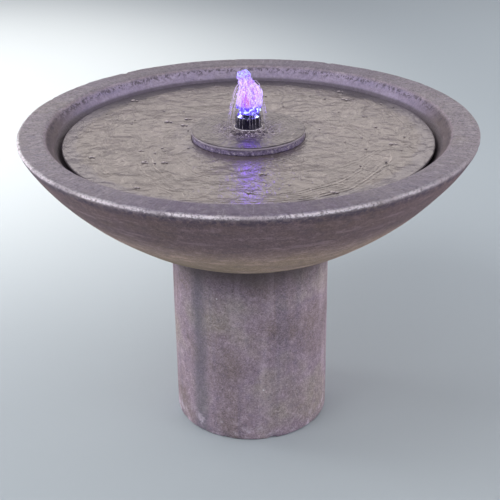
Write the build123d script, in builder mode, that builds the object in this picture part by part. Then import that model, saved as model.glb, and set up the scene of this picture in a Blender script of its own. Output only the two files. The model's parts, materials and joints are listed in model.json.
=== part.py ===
from build123d import *
from math import radians, tan
import os

# A cast-stone bowl fountain on a round pedestal, with its submersible pump.
# Millimetres, +Z up, origin on the ground under the pedestal's axis, front towards -Y.
# The pump stands on the basin's floor under a loose cover plate. Its riser passes up through
# the plate and the cap disc, and ends in a jet nozzle with a ring of LEDs round it.

os.makedirs("parts", exist_ok=True)

# How far a cut runs past the face that it cuts through
CLEAR = 5.0

# ---- driving dimensions: stonework ----
RIM_Z = 584.0
BOWL_R = 412.0
LIP_R = 362.0
FOOT_R = 160.0
FOOT_Z = 370.0
BASIN_FLOOR_Z = 412.0
BASIN_FLAT_R = 150.0
OUTSIDE_CURVE = ((BOWL_R, RIM_Z), (374, 495), (227, 379), (FOOT_R, FOOT_Z))
INSIDE_CURVE = ((LIP_R, RIM_Z), (303, 508), (238, 420), (BASIN_FLAT_R, BASIN_FLOOR_Z))
RIM_ROUND = 7.0
LIP_ROUND = 2.5
PEDESTAL_R = 147.0
PEDESTAL_BORE_R = 109.0
PEDESTAL_ROUND = 3.5
PAD_THICK = 3.0
PEDESTAL_H = FOOT_Z - PAD_THICK
CORD_NOTCH_W = 56.0
CORD_NOTCH_H = 42.0

PLATE_TOP_Z = 558.0
PLATE_THICK = 30.0
PLATE_UNDER_Z = PLATE_TOP_Z - PLATE_THICK
PLATE_R = 335.0
PLATE_UNDER_R = 307.0
PLATE_HOLE_R = 30.0
PLATE_ROUND = 2.5
CAP_R = 102.0
CAP_THICK = 14.0
CAP_TOP_Z = PLATE_TOP_Z + CAP_THICK
CAP_HOLE_R = 27.5
CAP_ROUND = 2.5

LUG_COUNT = 4
LUG_FIRST_ANGLE = 45.0
LUG_INNER_R = 255.0
LUG_OUTER_R = 352.0
LUG_WIDTH = 52.0
LUG_TOP_Z = PLATE_UNDER_Z - PAD_THICK
PLATE_PAD_R = 280.0
PLATE_PAD_SIDE = 36.0
PLATE_PAD_ROUND = 4.0
PEDESTAL_PAD_R = 18.0
PEDESTAL_PAD_PCD = 256.0

# ---- driving dimensions: floor stopper ----
STOPPER_X, STOPPER_Y = -68.0, 34.0
STOPPER_HOLE_TOP_R = 19.0
STOPPER_HOLE_FOOT_R = 16.0
STOPPER_GAP = 0.4
STOPPER_SUNK = 1.0
STOPPER_FLANGE_R = 23.5
STOPPER_FLANGE = 4.0
CORD_R = 3.75
SLIT = 0.8

# ---- driving dimensions: pump ----
PUMP_HALF_W = 32.0
PUMP_BASE_Z = 420.0
PUMP_TOP_Z = 498.0
PUMP_FRONT_Y = 8.0
PUMP_BACK_Y = 78.0
ROTOR_Z = 445.0
SIDE_WALL = 3.5
FLOOR_WALL = 6.0
FRONT_WALL = 6.0
TOP_WALL = 4.0
HOUSING_ROUND = 3.0
HOUSING_TOP_ROUND = 2.5
CAVITY_ROUND = 4.0
CAVITY_HALF_W = PUMP_HALF_W - SIDE_WALL
CAVITY_LOW = PUMP_BASE_Z + FLOOR_WALL - ROTOR_Z
CAVITY_HIGH = PUMP_TOP_Z - TOP_WALL - ROTOR_Z
CAVITY_FRONT_Y = PUMP_FRONT_Y + FRONT_WALL
BACK_COVER_THICK = 4.0
POTTING_BACK_Y = PUMP_BACK_Y - BACK_COVER_THICK
GROOVE_COUNT = 7
GROOVE_PITCH = 6.0
GROOVE_W = 2.0
GROOVE_DEPTH = 0.8
GROOVE_LENGTH = 52.0
GROOVES_Y = 46.0
GROOVES_Z = (PUMP_BASE_Z + PUMP_TOP_Z) / 2

WELL_R = 12.6
WELL_WALL_R = 14.6
WELL_END_Y = 44.0
WELL_CAP_Y = 46.0
BUSH_R = 4.5
BUSH_LENGTH = 4.0
BUSH_BOSS_R = 6.5
BUSH_BOSS_WALL = 2.0
BUSH_BOSS_BACK_Y = WELL_END_Y + BUSH_LENGTH + BUSH_BOSS_WALL
SEAT_R = 20.0
SEAT_DEPTH = 4.0
SEAT_FIT = 0.1
SEPARATOR_BORE_R = 10.5
SEAL_GROOVE = 2.0
SEAL_CENTRE_R = 18.5
SEAL_R = 0.98
SHAFT_R = 2.0
SHAFT_FRONT_Y = -12.8
SHAFT_CHAMFER = 0.3
RUNNING_GAP = 0.06

MAGNET_R = 12.0
MAGNET_BORE_R = 5.0
MAGNET_FRONT_Y = 18.0
MAGNET_BACK_Y = 42.0
MAGNET_CHAMFER = 0.5
DRIVE_DOG_IN_R = 6.5
DRIVE_DOG_OUT_R = 9.0
DRIVE_DOG_ANGLE = 40.0
DRIVE_DOG_LENGTH = 4.5
SLEEVE_FLANGE = 1.5
SLEEVE_FRONT_R = 11.0
SLEEVE_BACK_R = 9.0
SLEEVE_FRONT_Y = MAGNET_FRONT_Y - SLEEVE_FLANGE
SLEEVE_BACK_Y = MAGNET_BACK_Y + SLEEVE_FLANGE

CORE_FRONT_Y = 20.0
LAMINATIONS = 8
LAMINATION_PITCH = 2.5
LAMINATION_THICK = 2.4
CORE_BACK_Y = CORE_FRONT_Y + LAMINATIONS * LAMINATION_PITCH
CORE_HALF_W = 25.0
CORE_LOW = -13.0
CORE_HIGH = 46.0
YOKE = 9.0
LEG_IN = 9.0
LEG_OUT = 20.0
POLE_R = 15.0
POLE_GAP = 10.0
COIL_LOW = 19.0
COIL_HIGH = CORE_HIGH - YOKE
COIL_BUILD = 5.0
COIL_GAP = 0.3
COIL_ROUND = 3.0
BOBBIN_WALL = 1.0

CHAMBER_R = 17.0
VOLUTE_R = 20.0
VOLUTE_FRONT_Y = -13.0
CHAMBER_FRONT_Y = -10.0
EYE_R = 9.5
SPIDER_ARMS = 3
SPIDER_ARM_W = 2.0
HUB_R = 5.5
FLANGE_THICK = 4.0
FLANGE_FIT = 0.2
SCREW_X = 24.5
SCREW_UP = 18.6
SCREW_R = 1.4
SCREW_HEAD_R = 2.8
SCREW_HEAD = 2.2
SCREW_GRIP = 5.5
SCREW_SLOT_LENGTH = 3.4
SCREW_SLOT_W = 0.8
SCREW_SLOT_DEPTH = 1.0
TOWER_R = 7.9
TOWER_BORE_R = 5.5
BARB_LOW_Z = 500.0
TOWER_TOP_Z = 516.0
BARB_GROOVES = 3
BARB_PITCH = 5.0
BARB_DEPTH = 0.7
TOWER_GAP = 0.6
FRONT_BUSH_R = HUB_R - 1.5

IMPELLER_R = 14.5
VANES = 6
VANE_THICK = 1.6
VANE_FRONT_Y = -7.0
VANE_FIT = 0.1
HUB_FRONT_Y = -8.0
HUB_END_PLAY = 0.3
DOG_END_PLAY = 0.5
DISC_FRONT_Y = 4.0
DISC_BACK_Y = 6.0

COVER_TOP_Z = 472.0
COVER_FRONT_Y = -26.0
COVER_WALL = 2.0
COVER_ROUND = 5.0
COVER_EDGE_ROUND = 1.5
COVER_INNER_ROUND = 3.5
SLOT_W = 2.4
SLOT_H = 34.0
FRONT_SLOTS = 3
FRONT_SLOT_PITCH = 5.0
FRONT_SLOTS_X = 20.5
SIDE_SLOTS = 4
SIDE_SLOT_PITCH = 5.5
SIDE_SLOTS_Y = -10.0
WINDOW_IN_R = 4.5
WINDOW_OUT_R = 10.0
WINDOW_ANGLE = 40.0
WINDOWS = 4
DIAL_R = 11.5
DIAL_THICK = 1.6
DIAL_GRIP = 5.0
DIAL_GRIP_LENGTH = 21.0
DIAL_GRIP_W = 3.0
DIAL_GRIP_ROUND = 1.2
DIAL_GAP = 0.1
DIAL_SPINDLE_R = 3.0
DIAL_CLIP_R = 4.0
DIAL_CLIP = 1.0
FOAM_FRONT_Y = -21.5
FOAM_BACK_Y = -14.0
FOAM_GAP = 3.0
FOAM_ROUND = 4.0

GLAND_X = -12.0
GLAND_OUT_R = 6.5
GLAND_BACK_Y = 92.0
GLAND_SEAT = 2.0
GLAND_BOSS = 4.0
GLAND_BOSS_R = 9.0
GLAND_END_WALL = 1.3
LEAD_GLAND_Y = 40.0
LEAD_GLAND_R = 4.2
LEAD_GLAND_DEPTH = 3.0
LEAD_GLAND_FLANGE = 1.4
LEAD_GLAND_H = 4.0
LEAD_GLAND_TAPER = 20.0
LEAD_R = 2.0
FEET_AT = ((-22, 18), (22, 18), (-22, 66), (22, 66))
FOOT_STEM_R = 3.0
FOOT_STEM = 4.4
# The cup below the stem: radius, and height over the basin's floor
CUP_OUTLINE = ((4.5, 8.0), (5.0, 4.0), (11.0, 0.0), (9.4, 0.0), (4.0, 3.0), (0.0, 3.6))
LEAD_LOW_Z = PUMP_TOP_Z - 2.0

# ---- driving dimensions: riser, nozzle and light ----
TUBE_R = 10.4
TUBE_BORE_R = TOWER_R
TUBE_LOW_Z = 500.0
TUBE_TOP_Z = 560.0
CLAMPS = (("lower", 508.0), ("upper", 547.0))
CLAMP_WIDTH = 9.0
CLAMP_BAND = 0.8
WORM_HALF = 3.0
WORM_LENGTH = 11.0
WORM_R = 2.0
WORM_SUNK = 0.6
CLAMP_HEX_R = 2.8
CLAMP_HEX = 3.0
CLAMP_SLOT_DEPTH = 1.6
CLAMP_SLOT_W = 0.7
STEM_R = TOWER_R
STEM_BORE_R = 5.5
STEM_LOW_Z = 538.0
STEM_TOP_Z = 594.0
COLLAR_R = 11.0
TIP_R = 9.2
TIP_BORE_R = 7.2
TIP_ROUND = 1.5
TIP_TOP_Z = 600.0
TIP_WALL = 2.5
TIP_HOLE_R = 2.2
TIP_SPRAYS = 8
TIP_SPRAY_R = 5.4
TIP_SPRAY_HOLE_R = 0.9
LED_RING_R = 23.0
LED_RING_BORE_R = 9.5
LED_RING_LOW_Z = 570.0
LED_RING_TOP_Z = 598.0
LED_RING_ROUND = 1.2
LED_CHANNEL_IN_R = 11.5
LED_CHANNEL_OUT_R = 21.2
LED_CHANNEL_Z = 576.0
LED_LEDGE = 1.8
LED_BOARD_Z = 586.0
BOARD_THICK = 1.6
RESIN_TOP_Z = 593.0
LED_DOME_Z = 594.0
LED_COUNT = 12
LED_CIRCLE_R = (LED_CHANNEL_IN_R + LED_CHANNEL_OUT_R) / 2
LED_R = 2.5
LED_FLANGE_R = 2.9
LED_FLANGE = 1.0
LED_GLAND_R = 3.4
LED_GLAND_H = 4.0
LEAD_OUT_Y = 17.0
LEAD_IN = 1.0
LEAD_TURN_Z = 534.0
LEAD_MEET_Z = 517.5
CLIP_LOW_Z = 554.0
CLIP_HEIGHT = 5.0
CLIP_WALL = 1.2
CLIP_WEB = 3.0
JET_LOW_Z = TIP_TOP_Z
JET_TOP_Z = 682.0
JET_FOOT_R = 6.5
JET_NECK_R = 11.0
JET_NECK_Z = 665.0
JET_BELLY_LOW = (46, 610)
JET_BELLY_HIGH = (26, 658)
JET_CROWN_R = 8.0


def write(builder, node):
    """Labels a finished sub-part and writes it as its own STEP file."""
    builder.part.label = node
    export_step(builder.part, f"parts/{node}.step")


def across_rotor(y):
    """The plane across the rotor's axis at that y: local x is +X, local y is up, facing the front."""
    return Plane(origin=(0, y, ROTOR_Z), x_dir=(1, 0, 0), z_dir=(0, -1, 0))


def level(z):
    """The horizontal plane at that height."""
    return Plane.XY.offset(z)


def ring_block(inner_r, outer_r, low_z, high_z):
    """Adds an upright ring, or a disc when inner_r is 0, about the Z axis to the open part."""
    with BuildSketch(level(low_z)) as ring:
        Circle(outer_r)
        if inner_r:
            Circle(inner_r, mode=Mode.SUBTRACT)
    extrude(ring.sketch, amount=high_z - low_z)


def rotor_ring(inner_r, outer_r, front_y, back_y, mode=Mode.ADD):
    """Adds a ring, or a disc when inner_r is 0, about the rotor's axis to the open part."""
    with BuildSketch(across_rotor(back_y)) as ring:
        Circle(outer_r)
        if inner_r:
            Circle(inner_r, mode=Mode.SUBTRACT)
    extrude(ring.sketch, amount=back_y - front_y, mode=mode)


def sector(inner_r, outer_r, angle, middle, mode=Mode.ADD):
    """Adds a slice of a ring, centred on the direction middle in degrees, to the open sketch."""
    start = middle - angle / 2
    with BuildLine() as outline:
        outer = CenterArc((0, 0), outer_r, start, angle)
        inner = CenterArc((0, 0), inner_r, start, angle)
        Line(outer @ 0, inner @ 0)
        Line(outer @ 1, inner @ 1)
    make_face(outline.edges(), mode=mode)


# ---- pedestal: a hollow cast cylinder with an arched notch at the back for the supply cord ----
with BuildPart() as pedestal:
    ring_block(PEDESTAL_BORE_R, PEDESTAL_R, 0, PEDESTAL_H)
    outer_edges = pedestal.edges().filter_by(GeomType.CIRCLE)
    fillet(outer_edges.filter_by(lambda e: abs(e.radius - PEDESTAL_R) < 0.1), radius=PEDESTAL_ROUND)
    with BuildSketch(Plane.XZ):
        Rectangle(CORD_NOTCH_W, CORD_NOTCH_H - CORD_NOTCH_W / 2, align=(Align.CENTER, Align.MIN))
        with Locations((0, CORD_NOTCH_H - CORD_NOTCH_W / 2)):
            Circle(CORD_NOTCH_W / 2)
    extrude(amount=-(PEDESTAL_R + CLEAR), mode=Mode.SUBTRACT)
write(pedestal, "pedestal")

# ---- rubber pads between the pedestal's top and the bowl's foot ----
for number in range(LUG_COUNT):
    with BuildPart() as pedestal_pad:
        with BuildSketch(level(PEDESTAL_H)):
            with PolarLocations(PEDESTAL_PAD_PCD / 2, 1, 90 * number):
                Circle(PEDESTAL_PAD_R)
        extrude(amount=PAD_THICK)
    write(pedestal_pad, f"pedestal_pad_{number + 1}")

# ---- bowl: the basin's hollow is made first, less the four lugs that carry the cover plate ----
with BuildPart() as basin:
    with BuildSketch(Plane.XZ):
        with BuildLine():
            Bezier(*INSIDE_CURVE)
            Polyline(
                (BASIN_FLAT_R, BASIN_FLOOR_Z),
                (0, BASIN_FLOOR_Z),
                (0, RIM_Z + CLEAR),
                (LIP_R, RIM_Z + CLEAR),
                (LIP_R, RIM_Z),
            )
        make_face()
    revolve(axis=Axis.Z)
    lug_height = LUG_TOP_Z - BASIN_FLOOR_Z
    with Locations((0, 0, BASIN_FLOOR_Z + lug_height / 2)):
        with PolarLocations((LUG_INNER_R + LUG_OUTER_R) / 2, LUG_COUNT, LUG_FIRST_ANGLE):
            Box(LUG_OUTER_R - LUG_INNER_R, LUG_WIDTH, lug_height, mode=Mode.SUBTRACT)

with BuildPart() as bowl:
    with BuildSketch(Plane.XZ):
        with BuildLine():
            Bezier(*OUTSIDE_CURVE)
            Polyline((FOOT_R, FOOT_Z), (0, FOOT_Z), (0, RIM_Z), (BOWL_R, RIM_Z))
        make_face()
    revolve(axis=Axis.Z)
    add(basin.part, mode=Mode.SUBTRACT)
    rim_edges = bowl.edges().filter_by(GeomType.CIRCLE).filter_by_position(Axis.Z, RIM_Z - 1, RIM_Z + 1)
    fillet(rim_edges.filter_by(lambda e: e.radius > LIP_R + 5), radius=RIM_ROUND)
    lip_edges = bowl.edges().filter_by(GeomType.CIRCLE).filter_by_position(Axis.Z, RIM_Z - 1, RIM_Z + 1)
    fillet(lip_edges.filter_by(lambda e: e.radius < LIP_R + 1), radius=LIP_ROUND)
    with Locations((STOPPER_X, STOPPER_Y, FOOT_Z)):
        Cone(
            STOPPER_HOLE_FOOT_R,
            STOPPER_HOLE_TOP_R,
            BASIN_FLOOR_Z - FOOT_Z,
            align=(Align.CENTER, Align.CENTER, Align.MIN),
            mode=Mode.SUBTRACT,
        )
write(bowl, "bowl")

# ---- rubber levelling pads on the lugs ----
for number in range(LUG_COUNT):
    with BuildPart() as plate_pad:
        with BuildSketch(level(LUG_TOP_Z)):
            with PolarLocations(PLATE_PAD_R, 1, LUG_FIRST_ANGLE + 90 * number):
                RectangleRounded(PLATE_PAD_SIDE, PLATE_PAD_SIDE, PLATE_PAD_ROUND)
        extrude(amount=PAD_THICK)
    write(plate_pad, f"plate_pad_{number + 1}")

# ---- cover plate: a loose stone disc with a tapered edge, which the water runs over ----
with BuildPart() as cover_plate:
    with BuildSketch(Plane.XZ) as plate_section:
        with BuildLine():
            Polyline(
                (PLATE_HOLE_R, PLATE_UNDER_Z),
                (PLATE_UNDER_R, PLATE_UNDER_Z),
                (PLATE_R, PLATE_TOP_Z),
                (PLATE_HOLE_R, PLATE_TOP_Z),
                close=True,
            )
        make_face()
        fillet(plate_section.vertices().group_by(Axis.X)[-1], radius=PLATE_ROUND)
    revolve(axis=Axis.Z)
write(cover_plate, "cover_plate")

# ---- cap disc: the small raised stone disc round the nozzle ----
with BuildPart() as cap_disc:
    with BuildSketch(Plane.XZ) as cap_section:
        with BuildLine():
            Polyline(
                (CAP_HOLE_R, PLATE_TOP_Z),
                (CAP_R, PLATE_TOP_Z),
                (CAP_R, CAP_TOP_Z),
                (CAP_HOLE_R, CAP_TOP_Z),
                close=True,
            )
        make_face()
        fillet(cap_section.vertices().group_by(Axis.Y)[-1], radius=CAP_ROUND)
    revolve(axis=Axis.Z)
write(cap_disc, "cap_disc")

# ---- floor stopper: tapered rubber plug with a slit bore for the supply cord ----
with BuildPart() as floor_stopper:
    with BuildSketch(Plane.XZ.offset(-STOPPER_Y)):
        with BuildLine():
            Polyline(
                (STOPPER_X, FOOT_Z + STOPPER_SUNK),
                (STOPPER_X + STOPPER_HOLE_FOOT_R - STOPPER_GAP, FOOT_Z + STOPPER_SUNK),
                (STOPPER_X + STOPPER_HOLE_TOP_R - STOPPER_GAP, BASIN_FLOOR_Z),
                (STOPPER_X + STOPPER_FLANGE_R, BASIN_FLOOR_Z),
                (STOPPER_X + STOPPER_FLANGE_R, BASIN_FLOOR_Z + STOPPER_FLANGE),
                (STOPPER_X, BASIN_FLOOR_Z + STOPPER_FLANGE),
                close=True,
            )
        make_face()
    revolve(axis=Axis((STOPPER_X, STOPPER_Y, 0), (0, 0, 1)))
    with BuildSketch(level(FOOT_Z)):
        with Locations((STOPPER_X, STOPPER_Y)):
            Circle(CORD_R)
            Rectangle(STOPPER_FLANGE_R + CLEAR, SLIT, align=(Align.MIN, Align.CENTER))
    extrude(amount=BASIN_FLOOR_Z + STOPPER_FLANGE + CLEAR - FOOT_Z, mode=Mode.SUBTRACT)
write(floor_stopper, "floor_stopper")


def cavity_outline():
    """Adds the outline of the motor cavity, across the rotor's axis, to the open sketch."""
    with Locations((0, (CAVITY_LOW + CAVITY_HIGH) / 2)):
        RectangleRounded(2 * CAVITY_HALF_W, CAVITY_HIGH - CAVITY_LOW, CAVITY_ROUND)


# ---- pump housing: moulded body with the rotor well, the motor cavity and the seat of the volute ----
with BuildPart() as pump_housing:
    with BuildSketch(level(PUMP_BASE_Z)):
        with Locations((0, (PUMP_FRONT_Y + PUMP_BACK_Y) / 2)):
            RectangleRounded(2 * PUMP_HALF_W, PUMP_BACK_Y - PUMP_FRONT_Y, HOUSING_ROUND)
    extrude(amount=PUMP_TOP_Z - PUMP_BASE_Z)
    fillet(pump_housing.edges().group_by(Axis.Z)[-1], radius=HOUSING_TOP_ROUND)
    with BuildSketch(across_rotor(PUMP_BACK_Y)):
        cavity_outline()
    extrude(amount=PUMP_BACK_Y - CAVITY_FRONT_Y, mode=Mode.SUBTRACT)
    rotor_ring(0, WELL_WALL_R, CAVITY_FRONT_Y, WELL_CAP_Y)
    rotor_ring(0, BUSH_BOSS_R, WELL_CAP_Y, BUSH_BOSS_BACK_Y)
    rotor_ring(0, WELL_R, PUMP_FRONT_Y, WELL_END_Y, mode=Mode.SUBTRACT)
    rotor_ring(0, BUSH_R, WELL_END_Y, WELL_END_Y + BUSH_LENGTH, mode=Mode.SUBTRACT)
    rotor_ring(0, SEAT_R, PUMP_FRONT_Y, PUMP_FRONT_Y + SEAT_DEPTH, mode=Mode.SUBTRACT)
    with BuildSketch(across_rotor(PUMP_FRONT_Y + SCREW_GRIP)):
        with GridLocations(2 * SCREW_X, 2 * SCREW_UP, 2, 2):
            Circle(SCREW_R)
    extrude(amount=SCREW_GRIP, mode=Mode.SUBTRACT)
    with BuildSketch(level(PUMP_BASE_Z)):
        with Locations(*FEET_AT):
            Circle(FOOT_STEM_R)
    extrude(amount=FOOT_STEM, mode=Mode.SUBTRACT)
    with BuildSketch(level(PUMP_TOP_Z)):
        with Locations((0, LEAD_GLAND_Y)):
            Circle(LEAD_GLAND_R)
    extrude(amount=-LEAD_GLAND_DEPTH, mode=Mode.SUBTRACT)
    for side in (-1, 1):
        with Locations((side * PUMP_HALF_W, GROOVES_Y, GROOVES_Z)):
            with GridLocations(0, GROOVE_PITCH, 1, GROOVE_COUNT):
                Box(2 * GROOVE_DEPTH, GROOVE_W, GROOVE_LENGTH, mode=Mode.SUBTRACT)
write(pump_housing, "pump_housing")


def core_outline():
    """Adds the U-shaped outline of the stator, with its two pole shoes, to the open sketch."""
    with Locations((0, (CORE_LOW + CORE_HIGH) / 2)):
        Rectangle(2 * CORE_HALF_W, CORE_HIGH - CORE_LOW)
    with Locations((0, COIL_HIGH / 2)):
        Rectangle(2 * LEG_IN, COIL_HIGH, mode=Mode.SUBTRACT)
    Circle(POLE_R, mode=Mode.SUBTRACT)
    with Locations((0, CORE_LOW / 2)):
        Rectangle(POLE_GAP, CLEAR - CORE_LOW, mode=Mode.SUBTRACT)
    shoulder = CORE_HALF_W - LEG_OUT
    with Locations((0, (COIL_LOW + COIL_HIGH) / 2)):
        with GridLocations(2 * LEG_OUT + shoulder, 0, 2, 1):
            Rectangle(shoulder, COIL_HIGH - COIL_LOW, mode=Mode.SUBTRACT)


# ---- stator laminations: a stack of separate steel sheets, drawn in groups of one thickness ----
with BuildPart() as stator_laminations:
    for number in range(LAMINATIONS):
        front_y = CORE_FRONT_Y + number * LAMINATION_PITCH
        with BuildSketch(across_rotor(front_y + LAMINATION_THICK)):
            core_outline()
        extrude(amount=LAMINATION_THICK)
write(stator_laminations, "stator_laminations")

# ---- coil bobbins and coils, one pair on each leg of the core ----
leg_middle = (LEG_IN + LEG_OUT) / 2
leg_width = LEG_OUT - LEG_IN
core_depth = CORE_BACK_Y - LAMINATION_PITCH + LAMINATION_THICK - CORE_FRONT_Y
core_middle_y = CORE_FRONT_Y + core_depth / 2
coil_width = leg_width + 2 * COIL_BUILD
coil_depth = core_depth + 2 * COIL_BUILD
spool_width = leg_width + 2 * BOBBIN_WALL
spool_depth = core_depth + 2 * BOBBIN_WALL

for leg, side in (("left", -1), ("right", 1)):
    leg_axis = (side * leg_middle, core_middle_y)
    winding_low_z = ROTOR_Z + COIL_LOW + BOBBIN_WALL
    winding_height = COIL_HIGH - COIL_LOW - 2 * BOBBIN_WALL

    with BuildPart() as coil_bobbin:
        with BuildSketch(level(ROTOR_Z + COIL_LOW)):
            with Locations(leg_axis):
                Rectangle(coil_width, coil_depth)
                Rectangle(leg_width, core_depth, mode=Mode.SUBTRACT)
        extrude(amount=COIL_HIGH - COIL_LOW)
        with BuildSketch(level(winding_low_z)):
            with Locations(leg_axis):
                Rectangle(coil_width + CLEAR, coil_depth + CLEAR)
                Rectangle(spool_width, spool_depth, mode=Mode.SUBTRACT)
        extrude(amount=winding_height, mode=Mode.SUBTRACT)
    write(coil_bobbin, f"coil_bobbin_{leg}")

    with BuildPart() as stator_coil:
        with BuildSketch(level(winding_low_z)):
            with Locations(leg_axis):
                RectangleRounded(coil_width - 2 * COIL_GAP, coil_depth - 2 * COIL_GAP, COIL_ROUND)
                Rectangle(spool_width, spool_depth, mode=Mode.SUBTRACT)
        extrude(amount=winding_height)
    write(stator_coil, f"stator_coil_{leg}")

# ---- potting: the resin that fills the motor cavity round the core, the coils and the well ----
with BuildPart() as pump_potting:
    with BuildSketch(across_rotor(POTTING_BACK_Y)):
        cavity_outline()
    extrude(amount=POTTING_BACK_Y - CAVITY_FRONT_Y)
    with BuildSketch(across_rotor(CORE_FRONT_Y + core_depth)):
        core_outline()
    extrude(amount=core_depth, mode=Mode.SUBTRACT)
    with BuildSketch(level(ROTOR_Z + COIL_LOW)):
        with Locations((0, core_middle_y)):
            with GridLocations(2 * leg_middle, 0, 2, 1):
                Rectangle(coil_width, coil_depth)
    extrude(amount=COIL_HIGH - COIL_LOW, mode=Mode.SUBTRACT)
    rotor_ring(0, WELL_WALL_R, CAVITY_FRONT_Y, WELL_CAP_Y, mode=Mode.SUBTRACT)
    rotor_ring(0, BUSH_BOSS_R, WELL_CAP_Y, BUSH_BOSS_BACK_Y, mode=Mode.SUBTRACT)
write(pump_potting, "pump_potting")

# ---- back cover, pressed into the mouth of the motor cavity, with the boss of the cord gland ----
with BuildPart() as pump_back_cover:
    with BuildSketch(across_rotor(PUMP_BACK_Y)):
        cavity_outline()
    extrude(amount=BACK_COVER_THICK)
    with BuildSketch(across_rotor(PUMP_BACK_Y)):
        with Locations((GLAND_X, 0)):
            Circle(GLAND_BOSS_R)
    extrude(amount=-GLAND_BOSS)
    with BuildSketch(across_rotor(PUMP_BACK_Y + GLAND_BOSS)):
        with Locations((GLAND_X, 0)):
            Circle(GLAND_OUT_R)
    extrude(amount=GLAND_BOSS + GLAND_SEAT, mode=Mode.SUBTRACT)
write(pump_back_cover, "pump_back_cover")

# ---- cord gland: the tapered rubber sleeve that the supply cord enters ----
with BuildPart() as cord_gland:
    with BuildSketch(level(ROTOR_Z)):
        with BuildLine():
            Polyline(
                (GLAND_X + CORD_R, PUMP_BACK_Y - GLAND_SEAT),
                (GLAND_X + GLAND_OUT_R, PUMP_BACK_Y - GLAND_SEAT),
                (GLAND_X + GLAND_OUT_R, PUMP_BACK_Y + GLAND_BOSS),
                (GLAND_X + CORD_R + GLAND_END_WALL, GLAND_BACK_Y),
                (GLAND_X + CORD_R, GLAND_BACK_Y),
                close=True,
            )
        make_face()
    revolve(axis=Axis((GLAND_X, 0, ROTOR_Z), (0, 1, 0)))
write(cord_gland, "cord_gland")

# ---- lead gland: the small rubber bush in the housing's top for the light's lead ----
with BuildPart() as lead_gland:
    with BuildSketch(level(PUMP_TOP_Z - LEAD_GLAND_DEPTH)):
        with Locations((0, LEAD_GLAND_Y)):
            Circle(LEAD_GLAND_R)
    extrude(amount=LEAD_GLAND_DEPTH)
    with BuildSketch(level(PUMP_TOP_Z)):
        with Locations((0, LEAD_GLAND_Y)):
            Circle(LEAD_GLAND_R + LEAD_GLAND_FLANGE)
    extrude(amount=LEAD_GLAND_H, taper=LEAD_GLAND_TAPER)
    with BuildSketch(level(LEAD_LOW_Z)):
        with Locations((0, LEAD_GLAND_Y)):
            Circle(LEAD_R)
    extrude(amount=PUMP_TOP_Z + LEAD_GLAND_H + CLEAR - LEAD_LOW_Z, mode=Mode.SUBTRACT)
write(lead_gland, "lead_gland")

# ---- suction cups: four rubber feet with a stem in the housing's base ----
for number, (foot_x, foot_y) in enumerate(FEET_AT):
    with BuildPart() as suction_cup:
        with BuildSketch(Plane.XZ.offset(-foot_y)):
            with BuildLine():
                Polyline(
                    (foot_x, PUMP_BASE_Z + FOOT_STEM),
                    (foot_x + FOOT_STEM_R, PUMP_BASE_Z + FOOT_STEM),
                    (foot_x + FOOT_STEM_R, PUMP_BASE_Z),
                    *[(foot_x + radius, BASIN_FLOOR_Z + height) for radius, height in CUP_OUTLINE],
                    close=True,
                )
            make_face()
        revolve(axis=Axis((foot_x, foot_y, 0), (0, 0, 1)))
    write(suction_cup, f"suction_cup_{number + 1}")

# ---- shaft and its two bushes ----
with BuildPart() as rotor_shaft:
    rotor_ring(0, SHAFT_R, SHAFT_FRONT_Y, WELL_END_Y + BUSH_LENGTH)
    chamfer(rotor_shaft.edges().filter_by(GeomType.CIRCLE), length=SHAFT_CHAMFER)
write(rotor_shaft, "rotor_shaft")

with BuildPart() as shaft_bush_rear:
    rotor_ring(SHAFT_R, BUSH_R, WELL_END_Y, WELL_END_Y + BUSH_LENGTH)
write(shaft_bush_rear, "shaft_bush_rear")

with BuildPart() as shaft_bush_front:
    rotor_ring(SHAFT_R, FRONT_BUSH_R, VOLUTE_FRONT_Y, CHAMBER_FRONT_Y)
write(shaft_bush_front, "shaft_bush_front")

# ---- rotor: a ring magnet on a plastic sleeve whose front flange carries the drive dog ----
with BuildPart() as rotor_magnet:
    rotor_ring(MAGNET_BORE_R, MAGNET_R, MAGNET_FRONT_Y, MAGNET_BACK_Y)
    magnet_rims = rotor_magnet.edges().filter_by(GeomType.CIRCLE)
    chamfer(magnet_rims.filter_by(lambda e: e.radius > MAGNET_R - 0.1), length=MAGNET_CHAMFER)
write(rotor_magnet, "rotor_magnet")

with BuildPart() as rotor_sleeve:
    rotor_ring(0, MAGNET_BORE_R, SLEEVE_FRONT_Y, SLEEVE_BACK_Y)
    rotor_ring(0, SLEEVE_FRONT_R, SLEEVE_FRONT_Y, MAGNET_FRONT_Y)
    rotor_ring(0, SLEEVE_BACK_R, MAGNET_BACK_Y, SLEEVE_BACK_Y)
    with BuildSketch(across_rotor(SLEEVE_FRONT_Y)):
        sector(DRIVE_DOG_IN_R, DRIVE_DOG_OUT_R, DRIVE_DOG_ANGLE, -90)
    extrude(amount=DRIVE_DOG_LENGTH)
    rotor_ring(0, SHAFT_R + RUNNING_GAP, 0, PUMP_BACK_Y, mode=Mode.SUBTRACT)
write(rotor_sleeve, "rotor_sleeve")

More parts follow.
